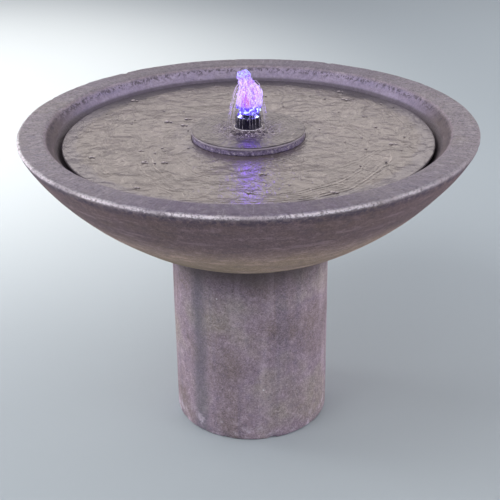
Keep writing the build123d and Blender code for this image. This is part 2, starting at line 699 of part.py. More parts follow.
# ---- impeller: hub, back disc, straight vanes and the finger that the drive dog pushes ----
with BuildPart() as impeller:
    rotor_ring(0, MAGNET_BORE_R, HUB_FRONT_Y, SLEEVE_FRONT_Y - HUB_END_PLAY)
    rotor_ring(0, IMPELLER_R, DISC_FRONT_Y, DISC_BACK_Y)
    with BuildSketch(across_rotor(DISC_FRONT_Y)):
        with PolarLocations(0, VANES):
            Rectangle(IMPELLER_R - VANE_FIT, VANE_THICK, align=(Align.MIN, Align.CENTER))
    extrude(amount=DISC_FRONT_Y - VANE_FRONT_Y)
    with BuildSketch(across_rotor(SLEEVE_FRONT_Y - DOG_END_PLAY)):
        sector(DRIVE_DOG_IN_R, DRIVE_DOG_OUT_R, DRIVE_DOG_ANGLE, 90)
    extrude(amount=SLEEVE_FRONT_Y - DOG_END_PLAY - DISC_BACK_Y)
    rotor_ring(0, SHAFT_R + RUNNING_GAP, HUB_FRONT_Y, MAGNET_FRONT_Y, mode=Mode.SUBTRACT)
write(impeller, "impeller")

# ---- separator ring and seal in the housing's seat ----
with BuildPart() as separator_ring:
    rotor_ring(SEPARATOR_BORE_R, SEAT_R - SEAT_FIT, PUMP_FRONT_Y + SEAL_GROOVE, PUMP_FRONT_Y + SEAT_DEPTH)
write(separator_ring, "separator_ring")

with BuildPart() as volute_seal:
    with BuildSketch(level(ROTOR_Z)):
        with Locations((SEAL_CENTRE_R, PUMP_FRONT_Y + SEAL_GROOVE / 2)):
            Circle(SEAL_R)
    revolve(axis=Axis((0, 0, ROTOR_Z), (0, 1, 0)))
write(volute_seal, "volute_seal")

# ---- volute cover: impeller chamber, intake eye with its spider, and the barbed outlet tower ----
cover_low = PUMP_BASE_Z - ROTOR_Z
cover_high = COVER_TOP_Z - ROTOR_Z
cover_middle = (cover_low + cover_high) / 2
cover_inner_w = 2 * (PUMP_HALF_W - COVER_WALL)
cover_inner_h = cover_high - cover_low - 2 * COVER_WALL
flange_w = cover_inner_w - 2 * FLANGE_FIT
flange_h = cover_inner_h - 2 * FLANGE_FIT

with BuildPart() as volute_cover:
    with BuildSketch(across_rotor(PUMP_FRONT_Y)):
        with Locations((0, cover_middle)):
            RectangleRounded(flange_w, flange_h, COVER_INNER_ROUND)
    extrude(amount=FLANGE_THICK)
    rotor_ring(0, VOLUTE_R, VOLUTE_FRONT_Y, PUMP_FRONT_Y)
    with BuildSketch(level(ROTOR_Z)):
        Circle(TOWER_R)
    extrude(amount=TOWER_TOP_Z - ROTOR_Z)
    for groove in range(BARB_GROOVES):
        with BuildSketch(level(BARB_LOW_Z + groove * BARB_PITCH)):
            Circle(TOWER_R + CLEAR)
            Circle(TOWER_R - BARB_DEPTH, mode=Mode.SUBTRACT)
        extrude(amount=BARB_PITCH / 2, mode=Mode.SUBTRACT)
    rotor_ring(0, CHAMBER_R, CHAMBER_FRONT_Y, PUMP_FRONT_Y, mode=Mode.SUBTRACT)
    with BuildSketch(level(ROTOR_Z)):
        Circle(TOWER_BORE_R)
    extrude(amount=TOWER_TOP_Z - ROTOR_Z, mode=Mode.SUBTRACT)
    with BuildSketch(across_rotor(CHAMBER_FRONT_Y)):
        Circle(EYE_R)
        Circle(HUB_R, mode=Mode.SUBTRACT)
        with PolarLocations(0, SPIDER_ARMS, 90):
            Rectangle(EYE_R + CLEAR, SPIDER_ARM_W, align=(Align.MIN, Align.CENTER), mode=Mode.SUBTRACT)
    extrude(amount=CHAMBER_FRONT_Y - VOLUTE_FRONT_Y, mode=Mode.SUBTRACT)
    rotor_ring(0, FRONT_BUSH_R, VOLUTE_FRONT_Y, CHAMBER_FRONT_Y, mode=Mode.SUBTRACT)
    with BuildSketch(across_rotor(PUMP_FRONT_Y)):
        with GridLocations(2 * SCREW_X, 2 * SCREW_UP, 2, 2):
            Circle(SCREW_R)
    extrude(amount=FLANGE_THICK, mode=Mode.SUBTRACT)
write(volute_cover, "volute_cover")

screw_head_y = PUMP_FRONT_Y - FLANGE_THICK
screw_places = [(x, up) for x in (-SCREW_X, SCREW_X) for up in (-SCREW_UP, SCREW_UP)]
for number, place in enumerate(screw_places):
    with BuildPart() as volute_screw:
        with BuildSketch(across_rotor(PUMP_FRONT_Y + SCREW_GRIP)):
            with Locations(place):
                Circle(SCREW_R)
        extrude(amount=SCREW_GRIP + FLANGE_THICK)
        with BuildSketch(across_rotor(screw_head_y)):
            with Locations(place):
                Circle(SCREW_HEAD_R)
        extrude(amount=SCREW_HEAD)
        with BuildSketch(across_rotor(screw_head_y - SCREW_HEAD + SCREW_SLOT_DEPTH)):
            with Locations(place):
                Rectangle(SCREW_SLOT_LENGTH, SCREW_SLOT_W)
                Rectangle(SCREW_SLOT_W, SCREW_SLOT_LENGTH)
        extrude(amount=SCREW_SLOT_DEPTH + CLEAR, mode=Mode.SUBTRACT)
    write(volute_screw, f"volute_screw_{number + 1}")

# ---- intake cover: the slotted front shell, notched at the top to clear the outlet tower ----
with BuildPart() as intake_cover:
    with BuildSketch(across_rotor(PUMP_FRONT_Y)):
        with Locations((0, cover_middle)):
            RectangleRounded(2 * PUMP_HALF_W, cover_high - cover_low, COVER_ROUND)
    extrude(amount=PUMP_FRONT_Y - COVER_FRONT_Y)
    fillet(intake_cover.edges().group_by(Axis.Y)[0], radius=COVER_EDGE_ROUND)
    with BuildSketch(across_rotor(PUMP_FRONT_Y)):
        with Locations((0, cover_middle)):
            RectangleRounded(cover_inner_w, cover_inner_h, COVER_INNER_ROUND)
    extrude(amount=PUMP_FRONT_Y - COVER_FRONT_Y - COVER_WALL, mode=Mode.SUBTRACT)
    with BuildSketch(level(COVER_TOP_Z)):
        Circle(TOWER_R + TOWER_GAP)
        Rectangle(2 * (TOWER_R + TOWER_GAP), PUMP_FRONT_Y + CLEAR, align=(Align.CENTER, Align.MIN))
    extrude(amount=-2 * COVER_WALL, mode=Mode.SUBTRACT)
    with BuildSketch(across_rotor(COVER_FRONT_Y + COVER_WALL)):
        for side in (-1, 1):
            with Locations((side * FRONT_SLOTS_X, cover_middle)):
                with GridLocations(FRONT_SLOT_PITCH, 0, FRONT_SLOTS, 1):
                    SlotOverall(SLOT_H, SLOT_W, rotation=90)
        for window in range(WINDOWS):
            sector(WINDOW_IN_R, WINDOW_OUT_R, WINDOW_ANGLE, 45 + 90 * window)
        Circle(DIAL_SPINDLE_R + RUNNING_GAP)
    extrude(amount=COVER_WALL, mode=Mode.SUBTRACT)
    with BuildSketch(Plane.YZ.offset(-PUMP_HALF_W)):
        with Locations((SIDE_SLOTS_Y, ROTOR_Z + cover_middle)):
            with GridLocations(SIDE_SLOT_PITCH, 0, SIDE_SLOTS, 1):
                SlotOverall(SLOT_H, SLOT_W, rotation=90)
    extrude(amount=2 * PUMP_HALF_W, mode=Mode.SUBTRACT)
write(intake_cover, "intake_cover")

with BuildPart() as filter_sponge:
    with BuildSketch(across_rotor(FOAM_BACK_Y)):
        with Locations((0, cover_middle)):
            RectangleRounded(cover_inner_w - 2 * FOAM_GAP, cover_inner_h - 2 * FOAM_GAP, FOAM_ROUND)
    extrude(amount=FOAM_BACK_Y - FOAM_FRONT_Y)
write(filter_sponge, "filter_sponge")

# ---- flow dial: windowed disc in front of the cover's face, on a spindle that clips behind it ----
dial_back_y = COVER_FRONT_Y - DIAL_GAP
clip_front_y = COVER_FRONT_Y + COVER_WALL + DIAL_GAP
with BuildPart() as flow_dial:
    with BuildSketch(across_rotor(dial_back_y)):
        Circle(DIAL_R)
        for window in range(WINDOWS):
            sector(WINDOW_IN_R, WINDOW_OUT_R, WINDOW_ANGLE, 45 + 90 * window, mode=Mode.SUBTRACT)
    extrude(amount=DIAL_THICK)
    with BuildSketch(across_rotor(dial_back_y - DIAL_THICK)):
        RectangleRounded(DIAL_GRIP_LENGTH, DIAL_GRIP_W, DIAL_GRIP_ROUND)
    extrude(amount=DIAL_GRIP)
    rotor_ring(0, DIAL_SPINDLE_R, dial_back_y, clip_front_y + DIAL_CLIP)
    rotor_ring(0, DIAL_CLIP_R, clip_front_y, clip_front_y + DIAL_CLIP)
write(flow_dial, "flow_dial")

# ---- riser tube: the soft clear hose from the pump's outlet up to the nozzle ----
with BuildPart() as riser_tube:
    ring_block(TUBE_BORE_R, TUBE_R, TUBE_LOW_Z, TUBE_TOP_Z)
write(riser_tube, "riser_tube")

# ---- hose clamps: a thin steel band, its worm housing in front, and the worm screw ----
clamp_outer_r = TUBE_R + CLAMP_BAND
worm_y = -(clamp_outer_r + WORM_HALF - WORM_SUNK)
for place, clamp_z in CLAMPS:
    with BuildPart() as clamp_band:
        ring_block(TUBE_R, clamp_outer_r, clamp_z - CLAMP_WIDTH / 2, clamp_z + CLAMP_WIDTH / 2)
        with Locations((0, worm_y, clamp_z)):
            Box(WORM_LENGTH, 2 * WORM_HALF, CLAMP_WIDTH)
        with Locations((0, 0, clamp_z)):
            Cylinder(TUBE_R, CLAMP_WIDTH + CLEAR, mode=Mode.SUBTRACT)
        with BuildSketch(Plane(origin=(0, worm_y, clamp_z), z_dir=(1, 0, 0))):
            Circle(WORM_R)
        extrude(amount=WORM_LENGTH, both=True, mode=Mode.SUBTRACT)
    write(clamp_band, f"clamp_band_{place}")

    with BuildPart() as clamp_screw:
        with BuildSketch(Plane(origin=(-WORM_LENGTH / 2, worm_y, clamp_z), z_dir=(1, 0, 0))):
            Circle(WORM_R)
        extrude(amount=WORM_LENGTH)
        with BuildSketch(Plane(origin=(WORM_LENGTH / 2, worm_y, clamp_z), z_dir=(1, 0, 0))):
            RegularPolygon(CLAMP_HEX_R, 6)
        extrude(amount=CLAMP_HEX)
        with Locations((WORM_LENGTH / 2 + CLAMP_HEX, worm_y, clamp_z)):
            Box(CLAMP_SLOT_DEPTH, CLAMP_SLOT_W, 2 * WORM_R, mode=Mode.SUBTRACT)
    write(clamp_screw, f"clamp_screw_{place}")

# ---- nozzle: the stem pushed into the riser, with a collar under the light, and its spray tip ----
with BuildPart() as nozzle_stem:
    ring_block(STEM_BORE_R, STEM_R, STEM_LOW_Z, STEM_TOP_Z)
    ring_block(STEM_BORE_R, COLLAR_R, TUBE_TOP_Z, LED_RING_LOW_Z)
write(nozzle_stem, "nozzle_stem")

with BuildPart() as nozzle_tip:
    ring_block(0, TIP_R, STEM_TOP_Z, TIP_TOP_Z)
    fillet(nozzle_tip.edges().group_by(Axis.Z)[-1], radius=TIP_ROUND)
    with BuildSketch(level(STEM_TOP_Z)):
        Circle(TIP_BORE_R)
    extrude(amount=TIP_TOP_Z - STEM_TOP_Z - TIP_WALL, mode=Mode.SUBTRACT)
    with BuildSketch(level(STEM_TOP_Z)):
        Circle(TIP_HOLE_R)
        with PolarLocations(TIP_SPRAY_R, TIP_SPRAYS):
            Circle(TIP_SPRAY_HOLE_R)
    extrude(amount=TIP_TOP_Z - STEM_TOP_Z, mode=Mode.SUBTRACT)
write(nozzle_tip, "nozzle_tip")

# ---- light: ring housing with its sleeve, circuit board, LEDs, clear resin and lead gland ----
with BuildPart() as led_sleeve:
    ring_block(STEM_R, LED_RING_BORE_R, LED_RING_LOW_Z, STEM_TOP_Z)
write(led_sleeve, "led_sleeve")

with BuildPart() as led_housing:
    ring_block(LED_RING_BORE_R, LED_RING_R, LED_RING_LOW_Z, LED_RING_TOP_Z)
    ring_edges = led_housing.edges().filter_by(GeomType.CIRCLE)
    fillet(ring_edges.filter_by(lambda e: abs(e.radius - LED_RING_R) < 0.1), radius=LED_RING_ROUND)
    with BuildSketch(level(LED_BOARD_Z)):
        Circle(LED_CHANNEL_OUT_R)
        Circle(LED_CHANNEL_IN_R, mode=Mode.SUBTRACT)
    extrude(amount=LED_RING_TOP_Z - LED_BOARD_Z, mode=Mode.SUBTRACT)
    with BuildSketch(level(LED_CHANNEL_Z)):
        Circle(LED_CHANNEL_OUT_R - LED_LEDGE)
        Circle(LED_CHANNEL_IN_R + LED_LEDGE, mode=Mode.SUBTRACT)
    extrude(amount=LED_BOARD_Z - LED_CHANNEL_Z, mode=Mode.SUBTRACT)
    with BuildSketch(level(LED_RING_LOW_Z)):
        with Locations((0, LEAD_OUT_Y)):
            Circle(LEAD_R)
    extrude(amount=LED_CHANNEL_Z - LED_RING_LOW_Z, mode=Mode.SUBTRACT)
write(led_housing, "led_housing")

with BuildPart() as led_board:
    ring_block(LED_CHANNEL_IN_R, LED_CHANNEL_OUT_R, LED_BOARD_Z, LED_BOARD_Z + BOARD_THICK)
write(led_board, "led_board")

led_foot_z = LED_BOARD_Z + BOARD_THICK
with BuildPart() as leds:
    with BuildSketch(level(led_foot_z)):
        with PolarLocations(LED_CIRCLE_R, LED_COUNT):
            Circle(LED_FLANGE_R)
    extrude(amount=LED_FLANGE)
    with BuildSketch(level(led_foot_z)):
        with PolarLocations(LED_CIRCLE_R, LED_COUNT):
            Circle(LED_R)
    extrude(amount=LED_DOME_Z - led_foot_z)
    with Locations((0, 0, LED_DOME_Z)):
        with PolarLocations(LED_CIRCLE_R, LED_COUNT):
            Sphere(LED_R)
write(leds, "leds")

with BuildPart() as led_resin:
    ring_block(LED_CHANNEL_IN_R, LED_CHANNEL_OUT_R, led_foot_z, RESIN_TOP_Z)
    with BuildSketch(level(led_foot_z)):
        with PolarLocations(LED_CIRCLE_R, LED_COUNT):
            Circle(LED_FLANGE_R)
    extrude(amount=LED_FLANGE, mode=Mode.SUBTRACT)
    with BuildSketch(level(led_foot_z)):
        with PolarLocations(LED_CIRCLE_R, LED_COUNT):
            Circle(LED_R)
    extrude(amount=RESIN_TOP_Z - led_foot_z, mode=Mode.SUBTRACT)
write(led_resin, "led_resin")

with BuildPart() as led_gland:
    with BuildSketch(level(LED_RING_LOW_Z)):
        with Locations((0, LEAD_OUT_Y)):
            Circle(LED_GLAND_R)
            Circle(LEAD_R, mode=Mode.SUBTRACT)
    extrude(amount=-LED_GLAND_H)
write(led_gland, "led_gland")

# ---- light's lead: down beside the riser, held by a clip, and across to the gland on the pump ----
lead_route = (
    (0, LEAD_OUT_Y, LED_CHANNEL_Z + LEAD_IN),
    (0, LEAD_OUT_Y, LEAD_TURN_Z),
    (0, LEAD_GLAND_Y, LEAD_MEET_Z),
    (0, LEAD_GLAND_Y, LEAD_LOW_Z),
)


def bend_radii(route):
    """The radius of each bend: 0.45 of its shorter run over the tangent of half its turn."""
    radii = []
    for before, corner, after in zip(route, route[1:], route[2:]):
        run_in = Vector(corner) - Vector(before)
        run_out = Vector(after) - Vector(corner)
        half_turn = run_in.get_angle(run_out) / 2
        radii.append(0.45 * min(run_in.length, run_out.length) / tan(radians(half_turn)))
    return radii


lead_radii = bend_radii(lead_route)
print("lead bend radii", [round(radius, 1) for radius in lead_radii])
with BuildPart() as led_lead:
    with BuildLine() as lead_path:
        FilletPolyline(*lead_route, radius=lead_radii)
    with BuildSketch(Plane(lead_path.line @ 0, z_dir=lead_path.line % 0)):
        Circle(LEAD_R)
    sweep()
write(led_lead, "led_lead")

with BuildPart() as lead_clip:
    with BuildSketch(level(CLIP_LOW_Z)):
        Circle(TUBE_R + CLIP_WALL)
        with Locations((0, LEAD_OUT_Y)):
            Circle(LEAD_R + CLIP_WALL)
        with Locations((0, (TUBE_R + LEAD_OUT_Y) / 2)):
            Rectangle(CLIP_WEB, LEAD_OUT_Y - TUBE_R)
        Circle(TUBE_R, mode=Mode.SUBTRACT)
        with Locations((0, LEAD_OUT_Y)):
            Circle(LEAD_R, mode=Mode.SUBTRACT)
    extrude(amount=CLIP_HEIGHT)
write(lead_clip, "lead_clip")

# ---- water jet: the plain outer shape of the foaming column above the nozzle ----
with BuildPart() as water_jet:
    with BuildSketch(Plane.XZ):
        with BuildLine():
            Polyline((0, JET_TOP_Z), (0, JET_LOW_Z), (JET_FOOT_R, JET_LOW_Z))
            Bezier((JET_FOOT_R, JET_LOW_Z), JET_BELLY_LOW, JET_BELLY_HIGH, (JET_NECK_R, JET_NECK_Z))
            jet_crown = ((JET_NECK_R, JET_TOP_Z), (JET_CROWN_R, JET_TOP_Z), (0, JET_TOP_Z))
            Bezier((JET_NECK_R, JET_NECK_Z), *jet_crown)
        make_face()
    revolve(axis=Axis.Z)
write(water_jet, "water_jet")
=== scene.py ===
"""A cast-stone bowl fountain with its submersible pump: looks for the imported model.

Everything is in metres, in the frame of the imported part: +Z up, the front towards -Y.
"""

import json
from math import cos, pi, radians, sin, sqrt

import bmesh
import bpy
import numpy as np
from mathutils import Matrix, Vector, noise


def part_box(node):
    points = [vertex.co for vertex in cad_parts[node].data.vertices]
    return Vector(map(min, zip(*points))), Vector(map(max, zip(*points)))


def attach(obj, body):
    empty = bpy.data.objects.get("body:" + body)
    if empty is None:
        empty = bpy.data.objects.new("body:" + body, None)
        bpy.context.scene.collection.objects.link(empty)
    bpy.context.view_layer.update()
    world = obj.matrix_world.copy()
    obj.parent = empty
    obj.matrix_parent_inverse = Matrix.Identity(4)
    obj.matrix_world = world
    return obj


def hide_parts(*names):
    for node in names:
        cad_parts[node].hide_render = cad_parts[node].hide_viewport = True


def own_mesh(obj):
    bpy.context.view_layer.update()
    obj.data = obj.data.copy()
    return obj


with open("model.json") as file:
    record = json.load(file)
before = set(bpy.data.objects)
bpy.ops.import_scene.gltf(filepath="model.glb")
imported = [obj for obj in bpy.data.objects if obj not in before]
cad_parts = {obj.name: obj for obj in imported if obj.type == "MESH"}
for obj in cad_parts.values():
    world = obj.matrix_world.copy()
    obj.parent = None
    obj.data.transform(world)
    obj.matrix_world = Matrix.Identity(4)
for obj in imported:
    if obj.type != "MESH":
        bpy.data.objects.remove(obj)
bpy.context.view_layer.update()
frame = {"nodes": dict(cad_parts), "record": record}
MM = 0.001
TURN = 2 * pi
POLE = 1e-9

# ---- places, from the frame ----
BOWL_FOOT_Z, RIM_Z = (corner[2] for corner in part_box("bowl"))
PLATE_UNDER_Z, PLATE_Z = (corner[2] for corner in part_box("cover_plate"))
JET_FOOT_Z, JET_TOP_Z = (corner[2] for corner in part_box("water_jet"))
CAP_R, _, CAP_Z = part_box("cap_disc")[1]
PEDESTAL_R, _, PEDESTAL_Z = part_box("pedestal")[1]
RING_R, _, RING_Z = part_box("led_housing")[1]
STOPPER_LOW, STOPPER_HIGH = (Vector(corner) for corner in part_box("floor_stopper"))

# ---- sizes of the stonework, as its CAD nodes have them: (radius, height) ----
OUTSIDE = ((0.1600, BOWL_FOOT_Z), (0.2270, 0.3790), (0.3740, 0.4950), (0.4120, RIM_Z))
INSIDE = ((0.3620, RIM_Z), (0.3030, 0.5080), (0.2380, 0.4200), (0.1500, 0.4120))
BASIN_FLOOR_Z = INSIDE[3][1]
LUG_TOP_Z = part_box("plate_pad_1")[0][2]
LUG_IN_R, LUG_OUT_R, LUG_HALF = 0.255, 0.345, 0.026
PLATE_R, PLATE_UNDER_R, PLATE_HOLE_R = 0.3350, 0.3070, 0.0300
CAP_HOLE_R = 0.0275
PEDESTAL_BORE_R = 0.109
NOTCH_HALF, NOTCH_LOW, NOTCH_PEAK = 0.028, 0.014, 0.051
STOPPER_HOLE_LOW_R, STOPPER_HOLE_HIGH_R = 0.016, 0.019

# ---- the film of water: its thickness, and its mound round the light ----
FILM = 1.3 * MM
MOUND, MOUND_R = 4.5 * MM, 0.044
PLATE_FILM_Z = PLATE_Z + FILM
CAP_FILM_Z = CAP_Z + FILM


# ---------------------------------------------------------------- mesh helpers
def grain(points, size, shift=0.0):
    """A smooth random field over the points, about -1 to 1, with features of that size in metres."""
    scaled = np.asarray(points) / size + shift
    return np.array([noise.noise(Vector(point)) for point in scaled])


def fade(value, low, high):
    """0 at low, 1 at high, and a smooth step between."""
    share = np.clip((value - low) / (high - low), 0, 1)
    return share * share * (3 - 2 * share)


def polar(radius, angle, height):
    """The point at that distance from the axis, at an angle that is 0 at the front."""
    return radius * sin(angle), -radius * cos(angle), height


def radii(points):
    """The points' distances from the axis."""
    return np.hypot(points[:, 0], points[:, 1])


def bezier(points, steps):
    """Points along a Bezier curve, whatever its number of control points."""
    points = [np.array(point, float) for point in points]
    curve = []
    for t in np.linspace(0, 1, steps):
        level = points
        while len(level) > 1:
            level = [a * (1 - t) + b * t for a, b in zip(level, level[1:])]
        curve.append(level[0])
    return curve


def straight(start, end, steps):
    """Points along a straight line, both ends included."""
    return [np.array(start) * (1 - t) + np.array(end) * t for t in np.linspace(0, 1, steps)]


def trimmed(line, reach):
    """The line without the stretch that lies within reach of its last point."""
    corner = line[-1]
    return [point for point in line if np.linalg.norm(point - corner) > reach]


def eased(before, after, reach, steps):
    """Two lines that meet at a corner, joined into one with the corner rounded off within reach."""
    first = trimmed(before, reach)
    second = trimmed(after[::-1], reach)[::-1]
    return first + bezier([first[-1], before[-1], second[0]], steps)[1:-1] + second


def add(name, data):
    """A scene object that holds the data."""
    thing = bpy.data.objects.new(name, data)
    bpy.context.scene.collection.objects.link(thing)
    return thing


def new_mesh(name, points, faces):
    mesh = bpy.data.meshes.new(name)
    mesh.from_pydata([tuple(point) for point in points], [], faces)
    mesh.update()
    return mesh


def new_piece(name, points, faces, material, body):
    """A smooth mesh object that rides on a CAD body."""
    mesh = new_mesh(name, points, faces)
    piece = add(name, mesh)
    mesh.materials.append(material)
    mesh.shade_smooth()
    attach(piece, body)
    return piece


def coordinates(mesh):
    points = np.empty(len(mesh.vertices) * 3)
    mesh.vertices.foreach_get("co", points)
    return points.reshape(-1, 3)


def move_vertices(mesh, points):
    mesh.vertices.foreach_set("co", points.ravel())
    mesh.update()


def shift_along_normals(piece, amount):
    """Moves each vertex along its normal by amount(points), given in metres."""
    mesh = piece.data
    points = coordinates(mesh)
    normals = np.array([tuple(normal.vector) for normal in mesh.vertex_normals])
    move_vertices(mesh, points + normals * amount(points)[:, None])


def strip(lower, upper):
    """Faces between two closed rows of point numbers. A row that repeats one number is a pole."""
    count = len(lower)
    faces = []
    for step in range(count):
        after = (step + 1) % count
        corners = (lower[step], lower[after], upper[after], upper[step])
        faces.append(tuple(dict.fromkeys(corners)))
    return faces


def revolved(section, segments):
    """Points and faces of a closed surface of revolution about Z. A section point at radius 0 is a pole."""
    points, rows, faces = [], [], []
    for radius, height in section:
        if radius < POLE:
            rows.append([len(points)] * segments)
            points.append((0.0, 0.0, height))
            continue
        rows.append(list(range(len(points), len(points) + segments)))
        points.extend(polar(radius, TURN * step / segments, height) for step in range(segments))
    ends_at_poles = section[0][0] < POLE
    following = rows[1:] if ends_at_poles else rows[1:] + rows[:1]
    for lower, upper in zip(rows, following):
        faces.extend(strip(lower, upper))
    return np.array(points), faces


def joined(parts):
    """Several (points, faces) shells as one."""
    points, faces, offset = [], [], 0
    for shell_points, shell_faces in parts:
        points.extend(tuple(point) for point in shell_points)
        faces.extend(tuple(corner + offset for corner in face) for face in shell_faces)
        offset += len(shell_points)
    return points, faces


def tube(route, widths, sides):
    """A closed tube along the route, with a radius at each of its points."""
    route = [Vector(point) for point in route]
    points, faces = [], []
    side = Vector((0.577, 0.577, 0.577))
    for number, (centre, radius) in enumerate(zip(route, widths)):
        ahead = route[min(number + 1, len(route) - 1)] - route[max(number - 1, 0)]
        across = ahead.cross(side).normalized()
        other = ahead.cross(across).normalized()
        for step in range(sides):
            angle = TURN * step / sides
            points.append(centre + (across * cos(angle) + other * sin(angle)) * radius)
        if number:
            row = number * sides
            faces.extend(strip(range(row - sides, row), range(row, row + sides)))
    faces.append(tuple(range(sides))[::-1])
    faces.append(tuple(range(len(points) - sides, len(points))))
    return points, faces


def shell_of(shape):
    """The points and faces of a bmesh, which is freed."""
    points = [vertex.co.copy() for vertex in shape.verts]
    faces = [tuple(vertex.index for vertex in face.verts) for face in shape.faces]
    shape.free()
    return points, faces


def ball(centre, radius, height, detail=2):
    """An icosphere shell, flattened or drawn out to its own half height."""
    shape = bmesh.new()
    bmesh.ops.create_icosphere(shape, subdivisions=detail, radius=1.0)
    points, faces = shell_of(shape)
    return [Vector(centre) + point * Vector((radius, radius, height)) for point in points], faces


def block(low, high, cells, radius):
    """A closed box of many small faces with its corners rounded off."""
    low, high = np.array(low), np.array(high)
    shape = bmesh.new()
    bmesh.ops.create_cube(shape, size=1.0)
    bmesh.ops.subdivide_edges(shape, edges=shape.edges[:], cuts=cells, use_grid_fill=True)
    corners, faces = shell_of(shape)
    middle, half = (low + high) / 2, (high - low) / 2
    points = []
    for corner in corners:
        place = np.array(corner) * 2 * half
        core = np.clip(place, -(half - radius), half - radius)
        out = place - core
        length = np.linalg.norm(out)
        points.append(middle + (core + out / length * radius if length > 0 else place))
    return np.array(points), faces


def cut(piece, points, faces):
    """Takes a closed shell away from a piece."""
    cutter = add("cutter", new_mesh("cutter", points, faces))
    modifier = piece.modifiers.new("cut", "BOOLEAN")
    modifier.operation = "DIFFERENCE"
    modifier.solver = "EXACT"
    modifier.object = cutter
    bpy.context.view_layer.update()
    result = bpy.data.meshes.new_from_object(piece.evaluated_get(bpy.context.evaluated_depsgraph_get()))
    piece.modifiers.clear()
    piece.data = result
    piece.data.shade_smooth()
    bpy.data.objects.remove(cutter)


# ------------------------------------------------------------ material helpers
class Field:
    """A value or a colour over a surface, which is reckoned with like a number."""

    def __init__(self, nodes, socket):
        self.nodes, self.socket = nodes, socket

    def __add__(self, other):
        return self.nodes.maths("ADD", self, other)

    def __sub__(self, other):
        return self.nodes.maths("SUBTRACT", self, other)

    def __rsub__(self, other):
        return self.nodes.maths("SUBTRACT", other, self)

    def __mul__(self, other):
        return self.nodes.maths("MULTIPLY", self, other)

    def __abs__(self):
        return self.nodes.maths("ABSOLUTE", self)

    def between(self, low, high, start=0.0, end=1.0):
        """start at low, end at high, and a smooth step between."""
        values = {"Value": self, "From Min": low, "From Max": high, "To Min": start, "To Max": end}
        return self.nodes.make("ShaderNodeMapRange", values, "Result", interpolation_type="SMOOTHSTEP")


class Nodes:
    """A tree of nodes, made with short calls that each give back a field."""

    def __init__(self, tree, place):
        self.tree = tree
        self.place = self.make("ShaderNodeTexCoord", {}, place)

    def make(self, kind, values, output=0, **settings):
        node = self.tree.nodes.new(kind)
        for name, value in settings.items():
            setattr(node, name, value)
        for socket, value in values.items():
            self.put(node.inputs[socket], value)
        return Field(self, node.outputs[output])

    def put(self, socket, value):
        """Links a socket to a field, or sets it where the value is plain."""
        if isinstance(value, Field):
            self.tree.links.new(value.socket, socket)
        elif socket.type == "RGBA" and len(value) == 3:
            socket.default_value = (*value, 1.0)
        else:
            socket.default_value = value

    def maths(self, operation, first, second=0.0):
        return self.make("ShaderNodeMath", {0: first, 1: second}, operation=operation)

    def axes(self):
        """The place along x, y and z."""
        node = self.make("ShaderNodeSeparateXYZ", {0: self.place}).socket.node
        return [Field(self, socket) for socket in node.outputs]

    def vector(self, x, y, z):
        return self.make("ShaderNodeCombineXYZ", {0: x, 1: y, 2: z})

    def scaled(self, *by):
        """The place, stretched along its three axes."""
        return self.make("ShaderNodeMapping", {"Vector": self.place, "Scale": by})

    def angle(self):
        """The angle about the axis, 0 at the front."""
        x, y, _ = self.axes()
        return self.maths("ARCTAN2", x, y * -1.0)

    def radius(self):
        x, y, _ = self.axes()
        return self.maths("SQRT", x * x + y * y)

    def round_place(self, around, out, up):
        """The place in angle, radius and height, each times its own factor."""
        _, _, z = self.axes()
        return self.vector(self.angle() * around, self.radius() * out, z * up)

    def noise(self, scale, detail=3.0, rough=0.55, bend=0.0, place=None):
        """Soft noise, about 0.3 to 0.7, with that many features to the metre."""
        values = {"Vector": place or self.place, "Scale": scale, "Detail": detail, "Roughness": rough}
        return self.make("ShaderNodeTexNoise", {**values, "Distortion": bend}, "Fac")

    def cells(self, scale):
        """The distance to the nearest of scattered points."""
        return self.make("ShaderNodeTexVoronoi", {"Vector": self.place, "Scale": scale}, "Distance")

    def waves(self, scale, bend, **settings):
        values = {"Vector": self.place, "Scale": scale, "Distortion": bend}
        return self.make("ShaderNodeTexWave", values, "Fac", **settings)

    def blend(self, share, first, second, mode="MIX"):
        values = {0: share, 6: first, 7: second}
        return self.make("ShaderNodeMix", values, 2, data_type="RGBA", blend_type=mode)

    def layered(self, colour, *layers):
        """The colour under layers of (share, paint), or of (share, tint, TINT), which multiplies."""
        for share, paint, *mode in layers:
            colour = self.blend(share, colour, paint, *mode)
        return colour

    def ramp(self, value, stops):
        field = self.make("ShaderNodeValToRGB", {0: value}, "Color")
        ramp = field.socket.node.color_ramp
        while len(ramp.elements) < len(stops):
            ramp.elements.new(0.5)
        for element, (position, colour) in zip(ramp.elements, stops):
            element.position = position
            element.color = (*colour, 1.0)
        return field


class Shader(Nodes):
    """One material with its surface."""

    def __init__(self, name, **values):
        self.material = bpy.data.materials.new(name)
        self.material.use_nodes = True
        self.surface = self.material.node_tree.nodes["Principled BSDF"]
        super().__init__(self.material.node_tree, "Object")
        self.set(**values)

    def set(self, **values):
        for socket, value in values.items():
            self.put(self.surface.inputs[socket.replace("_", " ")], value)

    def relief(self, height, distance, socket="Normal"):
        """Bumps the surface by the height, whose full range is that distance in metres."""
        bump = self.make("ShaderNodeBump", {"Height": height, "Distance": distance}, "Normal")
        self.put(self.surface.inputs[socket], bump)

    def finished(self, height, distance, **values):
        """The material, with its last values set and its relief added."""
        self.set(**values)
        self.relief(height, distance)
        return self.material


